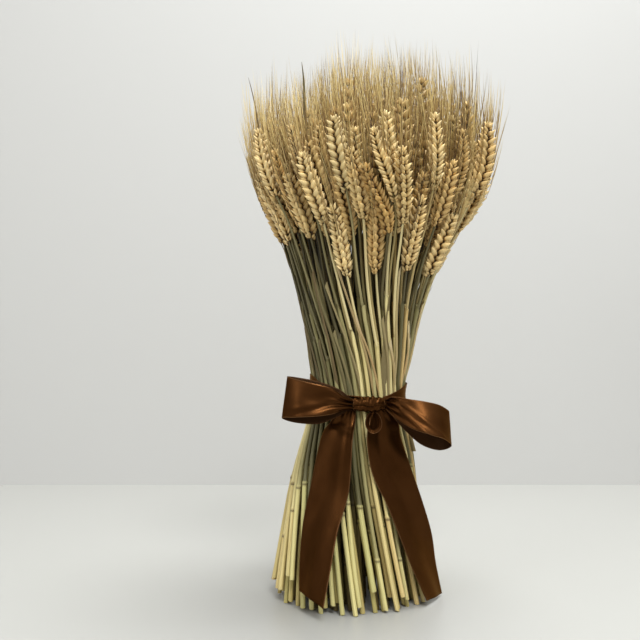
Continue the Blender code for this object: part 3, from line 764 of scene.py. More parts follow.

# %% [markdown]
# Dry leaves hang about in a cut sheaf. Some stand inside it and close the gaps between the stems, and a few
# dark or tan blades, placed one by one, lie on the outside. On the outer straws lie loose sheaths, the lower
# part of a leaf that was wrapped round the stem and has come away. They start under the ribbon and run up
# from it, and each is a thin tube with a slanted mouth. One short broken straw hangs out under the ribbon
# on the right. A single plane would be the quick way to a blade, but a thin closed strip with a fold down
# its middle has edges that catch the light.

# %% Leaves
BLADE_SIDES = 6
BLADE_SECTION = ((-1.0, 0.0), (-0.45, 0.11), (0.0, 0.02), (1.0, 0.05), (0.45, -0.06), (0.0, -0.12))


def add_blade(pile, centres, acrosses, widths, rng, dark):
    """A leaf blade along these centres. The acrosses say which way it is wide, and the widths how much."""
    centres, acrosses = np.array(centres, float), np.array(acrosses, float)
    along = np.gradient(centres, axis=0)
    along /= np.linalg.norm(along, axis=1, keepdims=True)
    acrosses /= np.linalg.norm(acrosses, axis=1, keepdims=True)
    ups = np.cross(along, acrosses)
    section = np.array(BLADE_SECTION)
    half = np.array(widths)[:, None, None] / 2
    offsets = acrosses[:, None] * section[None, :, :1] + ups[:, None] * section[None, :, 1:] * 2
    points = centres[:, None] + half * offsets
    tint = rng.random()
    look = np.zeros_like(points)
    look[..., 0] = tint
    look[..., 1] = dark
    grain = np.zeros_like(points)
    grain[..., 0] = section[None, :, 0] * 2
    grain[..., 2] = np.arange(len(centres))[:, None] * 0.35 + tint * 40
    quads, _ = tube_faces(len(centres), BLADE_SIDES)
    caps = [[0, 5, 4], [0, 4, 1], [1, 4, 2], [2, 4, 3]]
    last = (len(centres) - 1) * BLADE_SIDES
    caps += [[last + c, last + b, last + a] for a, b, c in caps[:4]]
    pile.add(points.reshape(-1, 3), caps, quads, look.reshape(-1, 3), grain.reshape(-1, 3))


def around(height, turn, share):
    """A point at this share of the outline, and the directions outwards and sideways there."""
    radius, middle, twist = outline([height])
    angle = turn + twist[0]
    out = np.array([math.cos(angle), math.sin(angle), 0.0])
    return np.array([middle[0], 0, height]) + out * radius[0] * share, out, np.array([-out[1], out[0], 0.0])


def add_inner_blades(pile, rng):
    for k in range(30):
        turn, share = math.tau * k / 30 * 7, rng.uniform(0.30, 0.70)
        low, high = rng.uniform(0.15, 0.20), rng.uniform(0.27, 0.33)
        start = rng.uniform(0, math.pi)
        centres, acrosses, widths = [], [], []
        for step in np.linspace(0, 1, 9):
            point, out, side = around(low + (high - low) * step, turn + 0.25 * step, share)
            centres.append(point)
            acrosses.append(side * math.cos(start + step) + out * math.sin(start + step))
            widths.append(0.011 * (1 - step**3) + 0.0006)
        # These blades stand inside the bunch, and their dark colour is painted shade in the gaps between the
        # stems.
        add_blade(pile, centres, acrosses, widths, rng, rng.uniform(0.8, 1.0))


def add_sheath(pile, turn, low, high, drift, rng):
    """A loose tube on the outer straws, which drifts across them and ends in a slanted mouth."""
    sides, steps = 8, 9
    size = rng.uniform(0.0012, 0.0018)
    left_side_shade = max(0.0, math.cos(turn - SHADED_SIDE))
    # Some sheaths are dark by chance; on the front left all are dark, as painted shade.
    dark = max(0.9 * rng.random() ** 2, left_side_shade)
    tint = rng.random()
    turns = math.tau * np.arange(sides) / sides
    points, look, grain = [], [], []
    for step in np.linspace(0, 1, steps):
        height = low + (high - low) * step
        centre, out, side = around(height, turn + drift * step, 1.0)
        centre = centre + out * (0.0002 + 0.0020 * float(smoothstep((height - 0.182) / 0.025)))
        here = size * (1 - 0.25 * step)
        ring = centre + here * (np.cos(turns)[:, None] * side + np.sin(turns)[:, None] * out * 0.7)
        ring[:, 2] += (step == 1) * 0.0025 * (1 + np.cos(turns))
        points.append(ring)
        look.append(np.column_stack([np.full(sides, tint), np.full(sides, dark), np.full(sides, step**8)]))
        grain.append(np.column_stack([np.cos(turns), np.sin(turns), np.full(sides, height * 12 + tint * 40)]))
    quads, _ = tube_faces(steps, sides)
    pile.add(np.concatenate(points), [], quads, np.concatenate(look), np.concatenate(grain))


SEEN_BLADES = (
    # angle and drift in degrees, lowest and highest point, share of the outline there, width, darkness
    (-60, -9, 0.168, 0.274, 0.99, 1.04, 0.0064, 0.85),
    (-14, 4, 0.205, 0.276, 0.98, 1.07, 0.0050, 0.7),
    (-16, 3, 0.308, 0.366, 0.98, 1.07, 0.0075, 0.3),
    (181, 2, 0.280, 0.320, 0.98, 1.09, 0.0045, 0.8),
    (195, 0, 0.372, 0.456, 0.90, 1.07, 0.0030, 1.0),
    (226, 0, 0.392, 0.460, 0.78, 0.84, 0.0028, 1.0),
    (100, -6, 0.170, 0.290, 0.99, 1.04, 0.0070, 0.7),
    (60, 5, 0.270, 0.350, 0.97, 1.08, 0.0060, 0.5),
)


def add_seen_blade(pile, angle, drift, low, high, low_share, high_share, width, dark, rng):
    """A single dry blade that lies on the outside of the sheaf, at an angle counted from its right side."""
    centres, acrosses, widths = [], [], []
    for step in np.linspace(0, 1, 11):
        height = low + (high - low) * step
        radius, middle, _ = outline([height])
        turn = math.radians(angle + drift * step)
        out = np.array([math.cos(turn), math.sin(turn), 0.0])
        reach = radius[0] * (low_share + (high_share - low_share) * step) + 0.0012 * math.sin(6 * step)
        centres.append(np.array([middle[0], 0, height]) + out * reach)
        acrosses.append(np.array([-out[1], out[0], 0.0]) + out * (0.5 - step))
        belly = 0.55 + 0.45 * math.sin(math.pi * min(1.0, 0.15 + step))
        widths.append(width * belly * (1 - step**5) + 0.0003)
    add_blade(pile, centres, acrosses, widths, rng, dark)


STUB_PATH = (
    (0.0475, -0.0120, 0.168), (0.0510, -0.0130, 0.152), (0.0545, -0.0140, 0.138),
    (0.0568, -0.0145, 0.129), (0.0568, -0.0145, 0.129), (0.0560, -0.0143, 0.134),
)
STUB_SIZES = (0.0020, 0.0021, 0.0021, 0.0020, 0.0013, 0.0012)


def add_stub(pile, rng):
    """A short broken straw that hangs out under the ribbon on the right."""
    sides = 8
    turns = math.tau * np.arange(sides) / sides
    circle = np.column_stack([np.cos(turns), np.sin(turns), np.zeros(sides)])
    rows = list(zip(STUB_PATH, STUB_SIZES))
    points = np.concatenate([np.array(centre) + circle * size for centre, size in rows])
    look = np.tile([rng.random(), 0.75, 0.0], (len(points), 1))
    look[-2 * sides :, 1] = 1.0
    grain = np.column_stack([np.tile(circle[:, :2], (len(rows), 1)), points[:, 2] * 12])
    quads, _ = tube_faces(len(rows), sides)
    pile.add(points, [], quads, look, grain)


LOOSE_SHEATHS = 34
leaf_chance = random.Random(17)
leaves = Pile()
add_inner_blades(leaves, leaf_chance)
for k in range(LOOSE_SHEATHS):
    turn = math.tau * (k + leaf_chance.uniform(-0.4, 0.4)) / LOOSE_SHEATHS
    low, high = leaf_chance.uniform(0.170, 0.176), leaf_chance.uniform(0.222, 0.290)
    add_sheath(leaves, turn, low, high, leaf_chance.uniform(-0.30, 0.20), leaf_chance)
for row in SEEN_BLADES:
    add_seen_blade(leaves, *row, leaf_chance)


def leaf_finish():
    kit = Surface("dry_leaf", 0.6, Specular_IOR_Level=0.3)
    tint, dark, edge, _ = kit.attribute("look")
    *_, grain = kit.attribute("grain")
    tan = kit.ramp(tint, (0.0, (0.78, 0.62, 0.30)), (0.5, (0.62, 0.42, 0.18)), (1.0, (0.80, 0.69, 0.34)))
    dull = kit.ramp(
        tint,
        (0.0, (0.120, 0.110, 0.045)),
        (0.5, (0.16, 0.105, 0.045)),
        (1.0, (0.100, 0.105, 0.040)),
    )
    colour = kit.mix(dark, tan, dull)
    streaks = kit.noise(grain, (2.6, 2.6, 0.30), 2.6)
    shading = kit.ramp(streaks, (0.30, (0.45, 0.40, 0.34)), (0.60, (1.0, 1.0, 1.0)))
    colour = kit.mix(0.8, colour, shading, "MULTIPLY")
    lip = kit.math("MULTIPLY", edge, kit.math("SUBTRACT", 0.7, dark, True))
    kit.colour(kit.mix(lip, colour, (0.78, 0.70, 0.46)))
    kit.bump(streaks, 0.5, 0.0005)
    return kit.material


add_stub(leaves, leaf_chance)
put(leaves, "leaves", leaf_finish())

# %% [markdown]
# An ear of wheat is a zigzag stem with a spikelet at each bend, in turn on one edge and on the other. A
# spikelet is a fan of boat-shaped husks: two glumes at its foot, and over them the lemmas, each round a
# kernel. Seen from the broad side the husks make the braid that everyone knows. Two husks are modelled, a
# fine one and a plainer one, as rings with a keel down the back and a point. An ear near the outside takes
# seventy-five of them, and one further in thirty-one. An ear could be one body with a displaced surface,
# but then its husks would have no free edges.

# %% One husk
HUSK_SIDES = 6
HUSK_RINGS = ((0.0, 0.42), (0.13, 0.82), (0.34, 1.02), (0.58, 0.90), (0.80, 0.44))
KEEL = 0.34
TIP_OUT = 0.75


def husk(rings=HUSK_RINGS, sides=HUSK_SIDES):
    """Points in a frame of width, outward and forward, each 1 unit, with its faces and place along."""
    turns = math.tau * (np.arange(sides) + 0.5) / sides + math.pi / 2 - math.pi / sides
    points, along = [], []
    for t, size in rings:
        outward = np.sin(turns) * size
        outward = outward + KEEL * size * (outward > 0.9 * size)
        points.append(np.column_stack([np.cos(turns) * size, outward + TIP_OUT * t * t, np.full(sides, t)]))
        along += [t] * sides
    points.append(np.array([[0.0, TIP_OUT, 1.0]]))
    quads, fan = tube_faces(len(rings), sides, closed_top=True)
    return np.concatenate(points), fan, quads, np.array(along + [1.0])


HUSK = husk()
SMALL_HUSK = husk(((0.0, 0.4), (0.22, 0.95), (0.60, 0.88), (0.86, 0.36)), 5)
print("husk:", len(HUSK[0]), "points; small husk:", len(SMALL_HUSK[0]))

# %% Place the husks along an ear
SPIKELETS = 18
LEMMA = (0.0029, 0.0018, 0.0118)  # half width, half thickness, length
GLUME = (0.0023, 0.0013, 0.0078)
SPREAD_WIDE, SPREAD_DEEP = math.radians(32), math.radians(20)
AWN_PAST_TIP = (0.036, 0.058)


def unit(v):
    return v / np.linalg.norm(v)


def ear_frames(stalk, shares):
    """For each share of the ear: its centre, its growing direction, and the directions across it."""
    foot = stalk.ear_foot
    low, high = point_on(stalk, [foot, foot + 0.03])
    lean = unit(high - low)[2]
    found = []
    for share in shares:
        height = foot + share * stalk.ear_length * lean
        under, centre, over = point_on(stalk, [height - 0.008, height, height + 0.008])
        ahead = unit(over - under)
        _, middle, _ = outline([centre[2]])
        facing = stalk.angle if stalk.share == 0 else math.atan2(centre[1], centre[0] - middle[0])
        facing += stalk.roll + (0 if stalk.edge_on else math.pi / 2)
        deep = unit(np.cross(ahead, (math.cos(facing), math.sin(facing), 0)))
        found.append((centre, ahead, np.cross(deep, ahead), deep))
    return found


def ear_taper(share):
    return math.sin(math.pi * (0.24 + 0.66 * share)) ** 0.55


def add_husk(pile, shape, size, foot, forward, outward, tint, rng):
    """Places one husk, and returns its tip."""
    points, fan, quads, along = shape
    side = unit(np.cross(forward, outward))
    outward = np.cross(side, forward)
    frame_of_husk = np.array([side * size[0], outward * size[1], forward * size[2]])
    look = np.zeros((len(points), 3))
    look[:, 0] = tint
    look[:, 1] = along
    look[:, 2] = rng.random()
    grain = np.column_stack([points[:, 0], points[:, 1], along * 0.6 + 30 * look[:, 2]])
    pile.add(foot + points @ frame_of_husk, fan, quads, look, grain)
    return foot + forward * size[2] + outward * size[1] * TIP_OUT


def add_ear(pile, stalk, rng, full):
    """One ear. Returns where its awns start, as point, direction and share of the ear."""
    tint = rng.random()
    count = SPIKELETS if full else SPIKELETS - 4
    shape = HUSK if full else SMALL_HUSK
    frames = ear_frames(stalk, [(k + 0.35) / (count + 0.9) for k in range(count)] + [1.0])
    starts = []
    for k in range(count):
        share = k / count
        centre, ahead, wide, deep = frames[k]
        side = 1 if k % 2 else -1
        size = ear_taper(share) * rng.uniform(0.94, 1.05) * (0.72 if k < 2 else 1.0)
        size *= 1.0 if full else 1.14
        for face in (-1, 1):
            spread_wide = SPREAD_WIDE * rng.uniform(0.85, 1.12)
            spread_deep = SPREAD_DEEP * rng.uniform(0.8, 1.2) * face
            forward = unit(ahead + wide * side * math.tan(spread_wide) + deep * math.tan(spread_deep))
            outward = unit(wide * side * 0.45 + deep * face * 0.90)
            foot = centre + (wide * side * 0.0005 + deep * face * 0.0005 - ahead * 0.0016) * size
            lemma = np.array(LEMMA) * size
            tip = add_husk(pile, shape, lemma, foot, forward, outward, tint, rng)
            starts.append((tip, forward, share, wide * side, deep * face))
            if full:
                low = foot + (wide * side * 0.0012 + deep * face * 0.0006 - ahead * 0.0022) * size
                glume_way = unit(forward + wide * side * 0.10)
                add_husk(pile, SMALL_HUSK, np.array(GLUME) * size, low, glume_way, outward, tint, rng)
    centre, ahead, wide, deep = frames[-1]
    size = ear_taper(1.0) * 1.15
    for turn in range(3):
        way = wide * math.cos(math.tau * turn / 3) + deep * math.sin(math.tau * turn / 3)
        forward = unit(ahead + way * 0.16)
        foot = centre - ahead * 0.0060 + way * 0.0008
        tip = add_husk(pile, shape, np.array(LEMMA) * size, foot, forward, way, tint, rng)
        starts.append((tip, forward, 1.0, way, way))
    return starts


ear_chance = random.Random(8)
ears = {group: Pile() for group in GROUPS}
awn_starts = [add_ear(ears[group_of(s)], s, ear_chance, s.ring in FULL_RINGS) for s in stalks]
print(sum(len(a) for a in awn_starts), "awns to draw on", len(stalks), "ears")

# %% [markdown]
# Husks are thin, papery and a little glossy. The colour is a golden tan, and no two ears are quite alike.
# Each husk has painted shade at its foot, where the next one shades it, and a painted highlight towards its
# tip. A painted texture could do it, but the place along the husk comes with the points, so one ramp does
# the shading from foot to tip.

# %% Ear finish


def ear_finish(name, depth):
    kit = Surface(name, 0.5, Specular_IOR_Level=0.35)
    tint, along, chance, _ = kit.attribute("look")
    *_, grain = kit.attribute("grain")
    base = kit.ramp(
        tint,
        (0.0, (0.74, 0.58, 0.29)),
        (0.5, (0.84, 0.69, 0.38)),
        (0.8, (0.68, 0.48, 0.20)),
        (1.0, (0.66, 0.58, 0.34)),
    )
    # Painted shade at the foot of each husk, where the next one covers it, and a painted highlight towards
    # its tip.
    shade = kit.ramp(
        along,
        (0.12, (0.040, 0.023, 0.010)),
        (0.25, (0.44, 0.32, 0.19)),
        (0.40, (0.94, 0.89, 0.80)),
        (1.0, (1.26, 1.25, 1.22)),
    )
    colour = kit.mix(1.0, base, shade, "MULTIPLY")
    single = kit.ramp(chance, (0.0, (0.82, 0.80, 0.76)), (0.5, (1.0, 1.0, 1.0)), (1.0, (1.14, 1.10, 1.02)))
    colour = kit.mix(1.0, colour, single, "MULTIPLY")
    veins = kit.noise(grain, (3.0, 3.0, 0.5), 2.6)
    furrows = kit.ramp(veins, (0.32, (0.62, 0.56, 0.46)), (0.60, (1.0, 1.0, 1.0)))
    colour = kit.mix(0.6, colour, furrows, "MULTIPLY")
    kit.colour(kit.mix(1.0, colour, depth, "MULTIPLY"))
    kit.bump(veins, 0.4, 0.0004)
    return kit.material


ear_material = ear_finish("dry_husk", (1.0, 1.0, 1.0))
put(ears["outer"], "outer_ears", ear_material)
# The second and inner ears get darker copies of the finish, as painted shade inside the crown.
put(ears["second"], "second_ears", ear_finish("second_husk", (0.90, 0.87, 0.82)))
put(ears["inner"], "inner_ears", ear_finish("shaded_husk", (0.80, 0.74, 0.64)))

# %% [markdown]
# The awns are the beard: a long bristle from the point of each lemma, thick as a hair, barbed and straight.
# They rise beside the ear and open a little, so the broom over the sheaf is dense at its foot and fades
# out at its tips. Each is turned a little upwards, and most of any lean that points out of the crown is
# taken away, which keeps the crown's outline round. Their colour runs from purple-brown to pale gold, and
# each awn is darker towards its foot, partly its own colour and partly painted shade inside the crown.
# Hair curves would be the quick way, but they leave no mesh behind, so each awn is a three-sided spike with
# two bends in it.

# %% Awns
AWN_RADIUS = 0.00029
AWN_STEPS = (0.0, 0.30, 0.64)
AWN_SPREAD = 0.11
AWN_RISE = np.array([0.0, 0.0, 0.30])
MIDDLE_OF_CROWN = 0.019
OUTWARD_CUT = 0.85


def add_awn(pile, stalk_axis, start, forward, tint, outward, reach, rng):
    away = unit(np.array([start[0] - MIDDLE_OF_CROWN, start[1], 0.0]))
    spread = AWN_SPREAD * rng.uniform(0.2, 1.5)
    across = np.cross(stalk_axis, outward)
    sway = across * rng.uniform(-1, 1) * AWN_SPREAD * 0.9
    bend = outward * rng.uniform(-0.05, 0.05) + across * rng.uniform(-0.04, 0.04)
    early = (forward - stalk_axis) * 0.10
    along = np.array([*AWN_STEPS, 1.0])[:, None]
    lateral = outward * spread + sway
    lateral = lateral - away * max(0.0, float(lateral @ away)) * OUTWARD_CUT
    line = start + reach * (
        along * (unit(stalk_axis + AWN_RISE) + lateral) + bend * along**2 + early * np.sin(np.pi * along / 2)
    )
    line[0] = start - forward * 0.0012
    turns = math.tau * np.arange(3) / 3 + rng.random() * math.tau
    ring = (np.cos(turns)[:, None] * outward + np.sin(turns)[:, None] * across) * AWN_RADIUS
    sizes = 1 - 0.72 * along[:-1]
    points = np.concatenate([(line[:-1, None] + ring[None] * sizes[:, None]).reshape(-1, 3), line[-1:]])
    places = np.append(np.repeat(along[:-1, 0], 3), 1.0)
    shade = 0.30 * tint + 0.70 * rng.random()
    look = np.column_stack([np.full(len(points), shade), places, np.zeros(len(points))])
    pile.add(points, AWN_FAN, AWN_QUADS, look, look)


AWN_QUADS, AWN_FAN = tube_faces(len(AWN_STEPS), 3, closed_top=True)


def crown_top(point):
    """The height that the awns reach over this point: the crown is a low dome."""
    radius, middle, _ = outline([CROWN])
    away = math.hypot(point[0] - middle[0], point[1]) / radius[0]
    return 0.496 - 0.036 * away**2


def add_beard(pile, stalk, starts, rng):
    (top, axis, *_), = ear_frames(stalk, [1.0])
    tint = rng.random()
    longer = rng.uniform(-0.016, 0.010)
    for k, (start, forward, share, wide, deep) in enumerate(starts):
        if share < 0.45 and k % 3:
            continue
        outward = unit(wide + deep * rng.uniform(0.0, 1.2))
        outward = unit(outward - axis * outward.dot(axis))
        past = min(rng.uniform(*AWN_PAST_TIP), crown_top(top) - top[2] + rng.uniform(-0.020, 0.010)) + longer
        reach = (top - start).dot(axis) + max(past, 0.020)
        add_awn(pile, axis, start, forward, tint, outward, reach, rng)


awn_chance = random.Random(12)
beards = {group: Pile() for group in GROUPS}
for s, starts in zip(stalks, awn_starts):
    add_beard(beards[group_of(s)], s, starts, awn_chance)


def awn_finish():
    kit = Surface("dry_awn", 0.45, Specular_IOR_Level=0.4)
    tint, along, *_ = kit.attribute("look")
    base = kit.ramp(
        tint,
        (0.08, (0.066, 0.040, 0.024)),
        (0.32, (0.29, 0.19, 0.065)),
        (0.55, (0.57, 0.43, 0.16)),
        (0.95, (0.85, 0.70, 0.35)),
    )
    # Darker towards the foot of each awn: partly the awn's own colour, partly painted shade inside the crown.
    fade = kit.ramp(along, (0.0, (0.40, 0.30, 0.24)), (0.35, (0.80, 0.74, 0.66)), (0.7, (1.0, 1.0, 1.0)))
    kit.colour(kit.mix(1.0, base, fade, "MULTIPLY"))
    return kit.material


awn_material = awn_finish()
for group, pile in beards.items():
    put(pile, group + "_awns", awn_material)

# %% [markdown]
# The ribbon is a satin band about 38 mm wide. Each piece of it is a sheet, thickened, with a finish for
# each side. The loops and tails are lofted: pairs of points on the two edges, a smooth curve through them,
# and rows of points across. Where the knot draws the ribbon in, the cloth folds into pleats. A cloth
# simulation could gather it, but the bow in the photograph has a definite shape, and edge points that
# follow it give that shape every time.

# %% Ribbon sheets
RIBBON_WIDTH = 0.038
CLOTH_THICKNESS = 0.00032
PLEATS = 3
PLEAT_DEPTH = 0.0015


def smooth_rows(rows, per_span):
    """More rows of numbers, on a smooth curve through the given ones."""
    points = np.array([np.ravel(row) for row in rows], float)
    padded = np.vstack([2 * points[0] - points[1], points, 2 * points[-1] - points[-2]])
    found = []
    for k in range(1, len(padded) - 2):
        p0, p1, p2, p3 = padded[k - 1 : k + 3]
        for t in np.arange(per_span) / per_span:
            straight = 2 * p1 + (p2 - p0) * t
            curved = (2 * p0 - 5 * p1 + 4 * p2 - p3) * t**2 + (3 * p1 - p0 - 3 * p2 + p3) * t**3
            found.append(0.5 * (straight + curved))
    found.append(points[-1])
    return np.array(found)


def normals_of(grid):
    """Directions square to a grid of points."""
    along, across = np.gradient(grid, axis=0), np.gradient(grid, axis=1)
    square = np.cross(across, along)
    return square / (np.linalg.norm(square, axis=2, keepdims=True) + 1e-12)


def cloth_sheet(name, grid, sides, closed=False):
    """A sheet through a grid of points, thickened, with one finish for each of its two sides."""
    rows, columns, _ = grid.shape
    index = np.arange(rows * columns).reshape(rows, columns)
    if closed:
        index = np.vstack([index, index[:1]])
    corners = (index[:-1, :-1], index[:-1, 1:], index[1:, 1:], index[1:, :-1])
    quads = np.stack(corners, axis=2).reshape(-1, 4)
    lengths = np.linalg.norm(np.diff(grid[:, columns // 2], axis=0), axis=1)
    runs = np.concatenate([[0], np.cumsum(lengths)])
    mesh = bpy.data.meshes.new(name)
    mesh.from_pydata(grid.reshape(-1, 3).tolist(), [], quads.tolist())
    look = np.zeros((rows, columns, 3))
    look[..., 0] = np.linspace(0, 1, columns)[None]
    look[..., 1] = runs[:, None]
    layer = mesh.attributes.new("look", "FLOAT_VECTOR", "POINT")
    layer.data.foreach_set("vector", look.astype(np.float32).ravel())
    mesh.shade_smooth()
    for finish in sides:
        mesh.materials.append(finish)
    piece = bpy.data.objects.new(name, mesh)
    bpy.context.scene.collection.objects.link(piece)
    thicken = piece.modifiers.new("thickness", "SOLIDIFY")
    thicken.material_offset = 1
    thicken.thickness = CLOTH_THICKNESS
    thicken.offset = 0.0
    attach(piece, "root")
    print(f"{name}: {runs[-1] * 1000:.0f} mm of ribbon, {2 * len(quads)} triangles a face")
    return piece


def lofted(rows, per_span, columns, relief):
    """A grid of points between two edges, pushed off its plane by relief(along, across, width)."""
    edges = smooth_rows(rows, per_span)
    across = np.linspace(0, 1, columns)[None, :, None]
    one, other = edges[:, None, :3], edges[:, None, 3:]
    grid = one * (1 - across) + other * across
    width = np.linalg.norm(other - one, axis=2)
    along = np.linspace(0, 1, len(edges))[:, None]
    push = relief(along, across[..., 0], width)
    return grid + normals_of(grid) * push[..., None]


def pleated(along, across, width, depth=PLEAT_DEPTH, count=PLEATS):
    """Pleats that deepen as the ribbon is squeezed, and fade where it has its full width."""
    squeezed = smoothstep((0.72 - width / RIBBON_WIDTH) / 0.46)
    return depth * squeezed * np.cos(math.tau * count * across + 2.2 * along)


print("ribbon", RIBBON_WIDTH * 1000, "mm wide,", CLOTH_THICKNESS * 1000, "mm thick")

# %% [markdown]
# Satin shines along its threads: the warp floats on the surface, so highlights are broad and soft across
# the ribbon and the dark parts stay deep. A dark brown metal with a golden tint, fairly rough and a little
# anisotropic, gives that. A coated brown that isn't metallic could be used too, but in this light it shows
# a grey haze. The reverse of the ribbon is dull, and its colour is painted darker as shade, since it faces
# the straws and the insides of the loops. The woven edge, read from the place across the ribbon, is a
# slightly raised line, and its paler colour is a painted highlight.

# %% Satin finish


def satin_finish(name, depth, roughness, metallic):
    kit = Surface(name, roughness, Metallic=metallic, Anisotropic=0.3, Specular_IOR_Level=0.3)
    kit.shader.inputs["Specular Tint"].default_value = (0.86, 0.60, 0.36, 1)
    across, along, _, look = kit.attribute("look")
    threads = kit.noise(look, (260.0, 900.0, 1.0), 1.0, 2.0)
    soft = kit.noise(look, (2.0, 30.0, 1.0), 1.0, 2.0)
    base = kit.ramp(soft, (0.30, (0.044, 0.0158, 0.0040)), (0.70, (0.060, 0.0222, 0.0060)))
    edge = kit.math("ABSOLUTE", kit.math("SUBTRACT", across, 0.5))
    # The woven edge: a raised line in the bump, and a paler colour that is a painted highlight.
    rim = kit.range(edge, 0.475, 0.490, 0, 1)
    colour = kit.mix(kit.math("MULTIPLY", rim, 0.40), base, (0.28, 0.145, 0.065))
    kit.colour(kit.mix(1.0, colour, depth, "MULTIPLY"))
    kit.rough(kit.range(soft, 0.2, 0.8, roughness - 0.04, roughness + 0.06))
    height = kit.math("ADD", kit.math("MULTIPLY", threads, 0.25), rim)
    kit.bump(height, 0.25, 0.0003)
    return kit.material


satin = satin_finish("chocolate_satin", (1.0, 1.0, 1.0), 0.35, 0.88)
# The reverse is duller, and its darker colour is painted shade.
reverse = satin_finish("satin_reverse", (0.42, 0.36, 0.30), 0.60, 0.30)
OUTWARDS, INWARDS = (reverse, satin), (satin, reverse)  # which side of a sheet's grid shows the satin
print("satin and its dull reverse ready")

# %% [markdown]
# The band goes once round the waist under the bow. It has its full width at the back and is drawn in to a
# third of it at the knot, so fine folds run out from the knot to both sides. It lies a hair off the
# straws, at the same radius as its solid. Shrinking a plain ring onto the straws would print every one of
# them into it, so its grid comes from the outline instead.

# %% Band
BAND_HEIGHT, BAND_TILT = 0.1735, 0.0040
BAND_GATHERED = 0.0062
BAND_STANDOFF = 0.0006 + 0.0004
BAND_FRONT = math.radians(-90)
BAND_STEPS, BAND_COLUMNS = 144, 17
OUTER_HEIGHTS = (0.0, 0.100, 0.1775, 0.212, 0.262)


def skin(height):
    """Radius that clears the outer straws at this height, and the middle's sideways place."""
    radius, middle, _ = outline(OUTER_HEIGHTS)
    straw = float(np.interp(height, OUTER_HEIGHTS, radius)) + model_culm_radius(height)
    swell = 1 + FOOT_SPREAD * max(0.0, 1 - height / WAIST)
    return straw * swell, float(np.interp(height, OUTER_HEIGHTS, middle))


def band_grid():
    grid = np.zeros((BAND_STEPS, BAND_COLUMNS, 3))
    for k in range(BAND_STEPS):
        turn = BAND_FRONT + math.tau * k / BAND_STEPS
        from_front = abs(math.remainder(turn - BAND_FRONT, math.tau))
        opening = float(smoothstep((math.degrees(from_front) - 18) / 62))
        half = BAND_GATHERED + (RIBBON_WIDTH / 2 - BAND_GATHERED) * opening
        for step in range(BAND_COLUMNS):
            across = step / (BAND_COLUMNS - 1)
            height = BAND_HEIGHT - BAND_TILT * math.cos(turn) + half * (2 * across - 1)
            radius, middle = skin(height)
            folds = 0.0005 * math.cos(math.tau * 3 * across + 3 * turn)
            folds += 0.0003 * math.cos(7 * turn + 4 * across)
            depth = 1.3 * (1 - opening) + 0.35
            reach = radius + BAND_STANDOFF + folds * depth
            grid[k, step] = (middle + reach * math.cos(turn), reach * math.sin(turn), height)
    return grid


band = cloth_sheet("band", band_grid(), OUTWARDS, closed=True)
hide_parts("ribbon_band")

# %% [markdown]
# The bow's two loops. Each leaves the knot narrow and pleated, opens to the ribbon's full width, folds
# over at its end and comes back behind itself. The edge points follow the photograph: the left loop is a
# broad flag with a sagging lower edge, the right one hangs lower and shows its dark inside.

# %% Loops
LEFT_LOOP = (
    # upper edge, lower edge, in millimetres
    ((1.4, -48.2, 177.4), (1.4, -48.2, 169.2)),
    ((-6, -53.0, 181.0), (-7, -55.0, 168.5)),
    ((-17, -56, 188.0), (-17, -61, 166.0)),
    ((-30, -57, 191.5), (-31, -64, 164.5)),
    ((-44, -54, 194.5), (-47, -61, 163.5)),
    ((-54, -47, 197), (-58.5, -51, 162)),
    ((-46, -42, 196), (-48, -45.0, 157.5)),
    ((-28, -42.5, 192.5), (-28, -47, 156.5)),
    ((-10, -44.8, 186), (-12, -49.0, 162.5)),
    ((1.2, -44.8, 177.0), (1.2, -45.0, 169.6)),
)
RIGHT_LOOP = (
    ((30.6, -43.8, 177.2), (30.6, -43.8, 169.4)),
    ((38, -50.5, 180.0), (38, -54.0, 162.0)),
    ((49, -56.5, 178.5), (49.5, -65, 155.0)),
    ((62, -57, 176.5), (63, -71, 150.5)),
    ((75, -52, 173), (76, -67, 146.5)),
    ((84, -44.5, 167), (85, -52, 138.5)),
    ((76, -38.5, 168), (76, -42.5, 133.5)),
    ((61, -36.5, 173), (61, -42.5, 138)),
    ((48, -36.5, 177), (48, -43, 149)),
    ((38, -37.5, 178.5), (38, -42.0, 160)),
    ((30.8, -40.0, 176.8), (30.8, -40.2, 169.8)),
)
LOOP_COLUMNS = 21


def soft_bulge(along, across, at, size, wide=0.25, middle=0.5):
    """A broad rounded swelling of the cloth, at this place along and across it."""
    return size * np.exp(-(((along - at) / 0.09) ** 2) - ((across - middle) / wide) ** 2)


def left_loop_relief(along, across, width):
    crease = 0.0011 * np.exp(-(((across - 0.35 - 1.3 * along) / 0.10) ** 2)) * (along < 0.5)
    return (
        pleated(along, across, width)
        + soft_bulge(along, across, 0.30, 0.0014)
        - soft_bulge(along, across, 0.42, 0.0010, middle=0.75)
        + crease
    )


def right_loop_relief(along, across, width):
    front = smoothstep((0.46 - along) / 0.10)
    crease = 0.0011 * np.exp(-(((across - 0.05 - 3.2 * along) / 0.08) ** 2)) * front
    crease = crease + 0.0008 * np.exp(-(((across + 0.20 - 2.8 * along) / 0.07) ** 2)) * front
    return pleated(along, across, width) + soft_bulge(along, across, 0.36, 0.0008, middle=0.4) + crease


def in_metres(pairs):
    return [tuple(c / 1000 for c in (*one, *other)) for one, other in pairs]


def add_loop(name, pairs, relief, node, sides):
    grid = lofted(in_metres(pairs), 8, LOOP_COLUMNS, relief)
    piece = cloth_sheet(name, grid, sides)
    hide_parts(node)
    return piece


add_loop("left_loop", LEFT_LOOP, left_loop_relief, "ribbon_loop_left", OUTWARDS)
add_loop("right_loop", RIGHT_LOOP, right_loop_relief, "ribbon_loop_right", INWARDS)

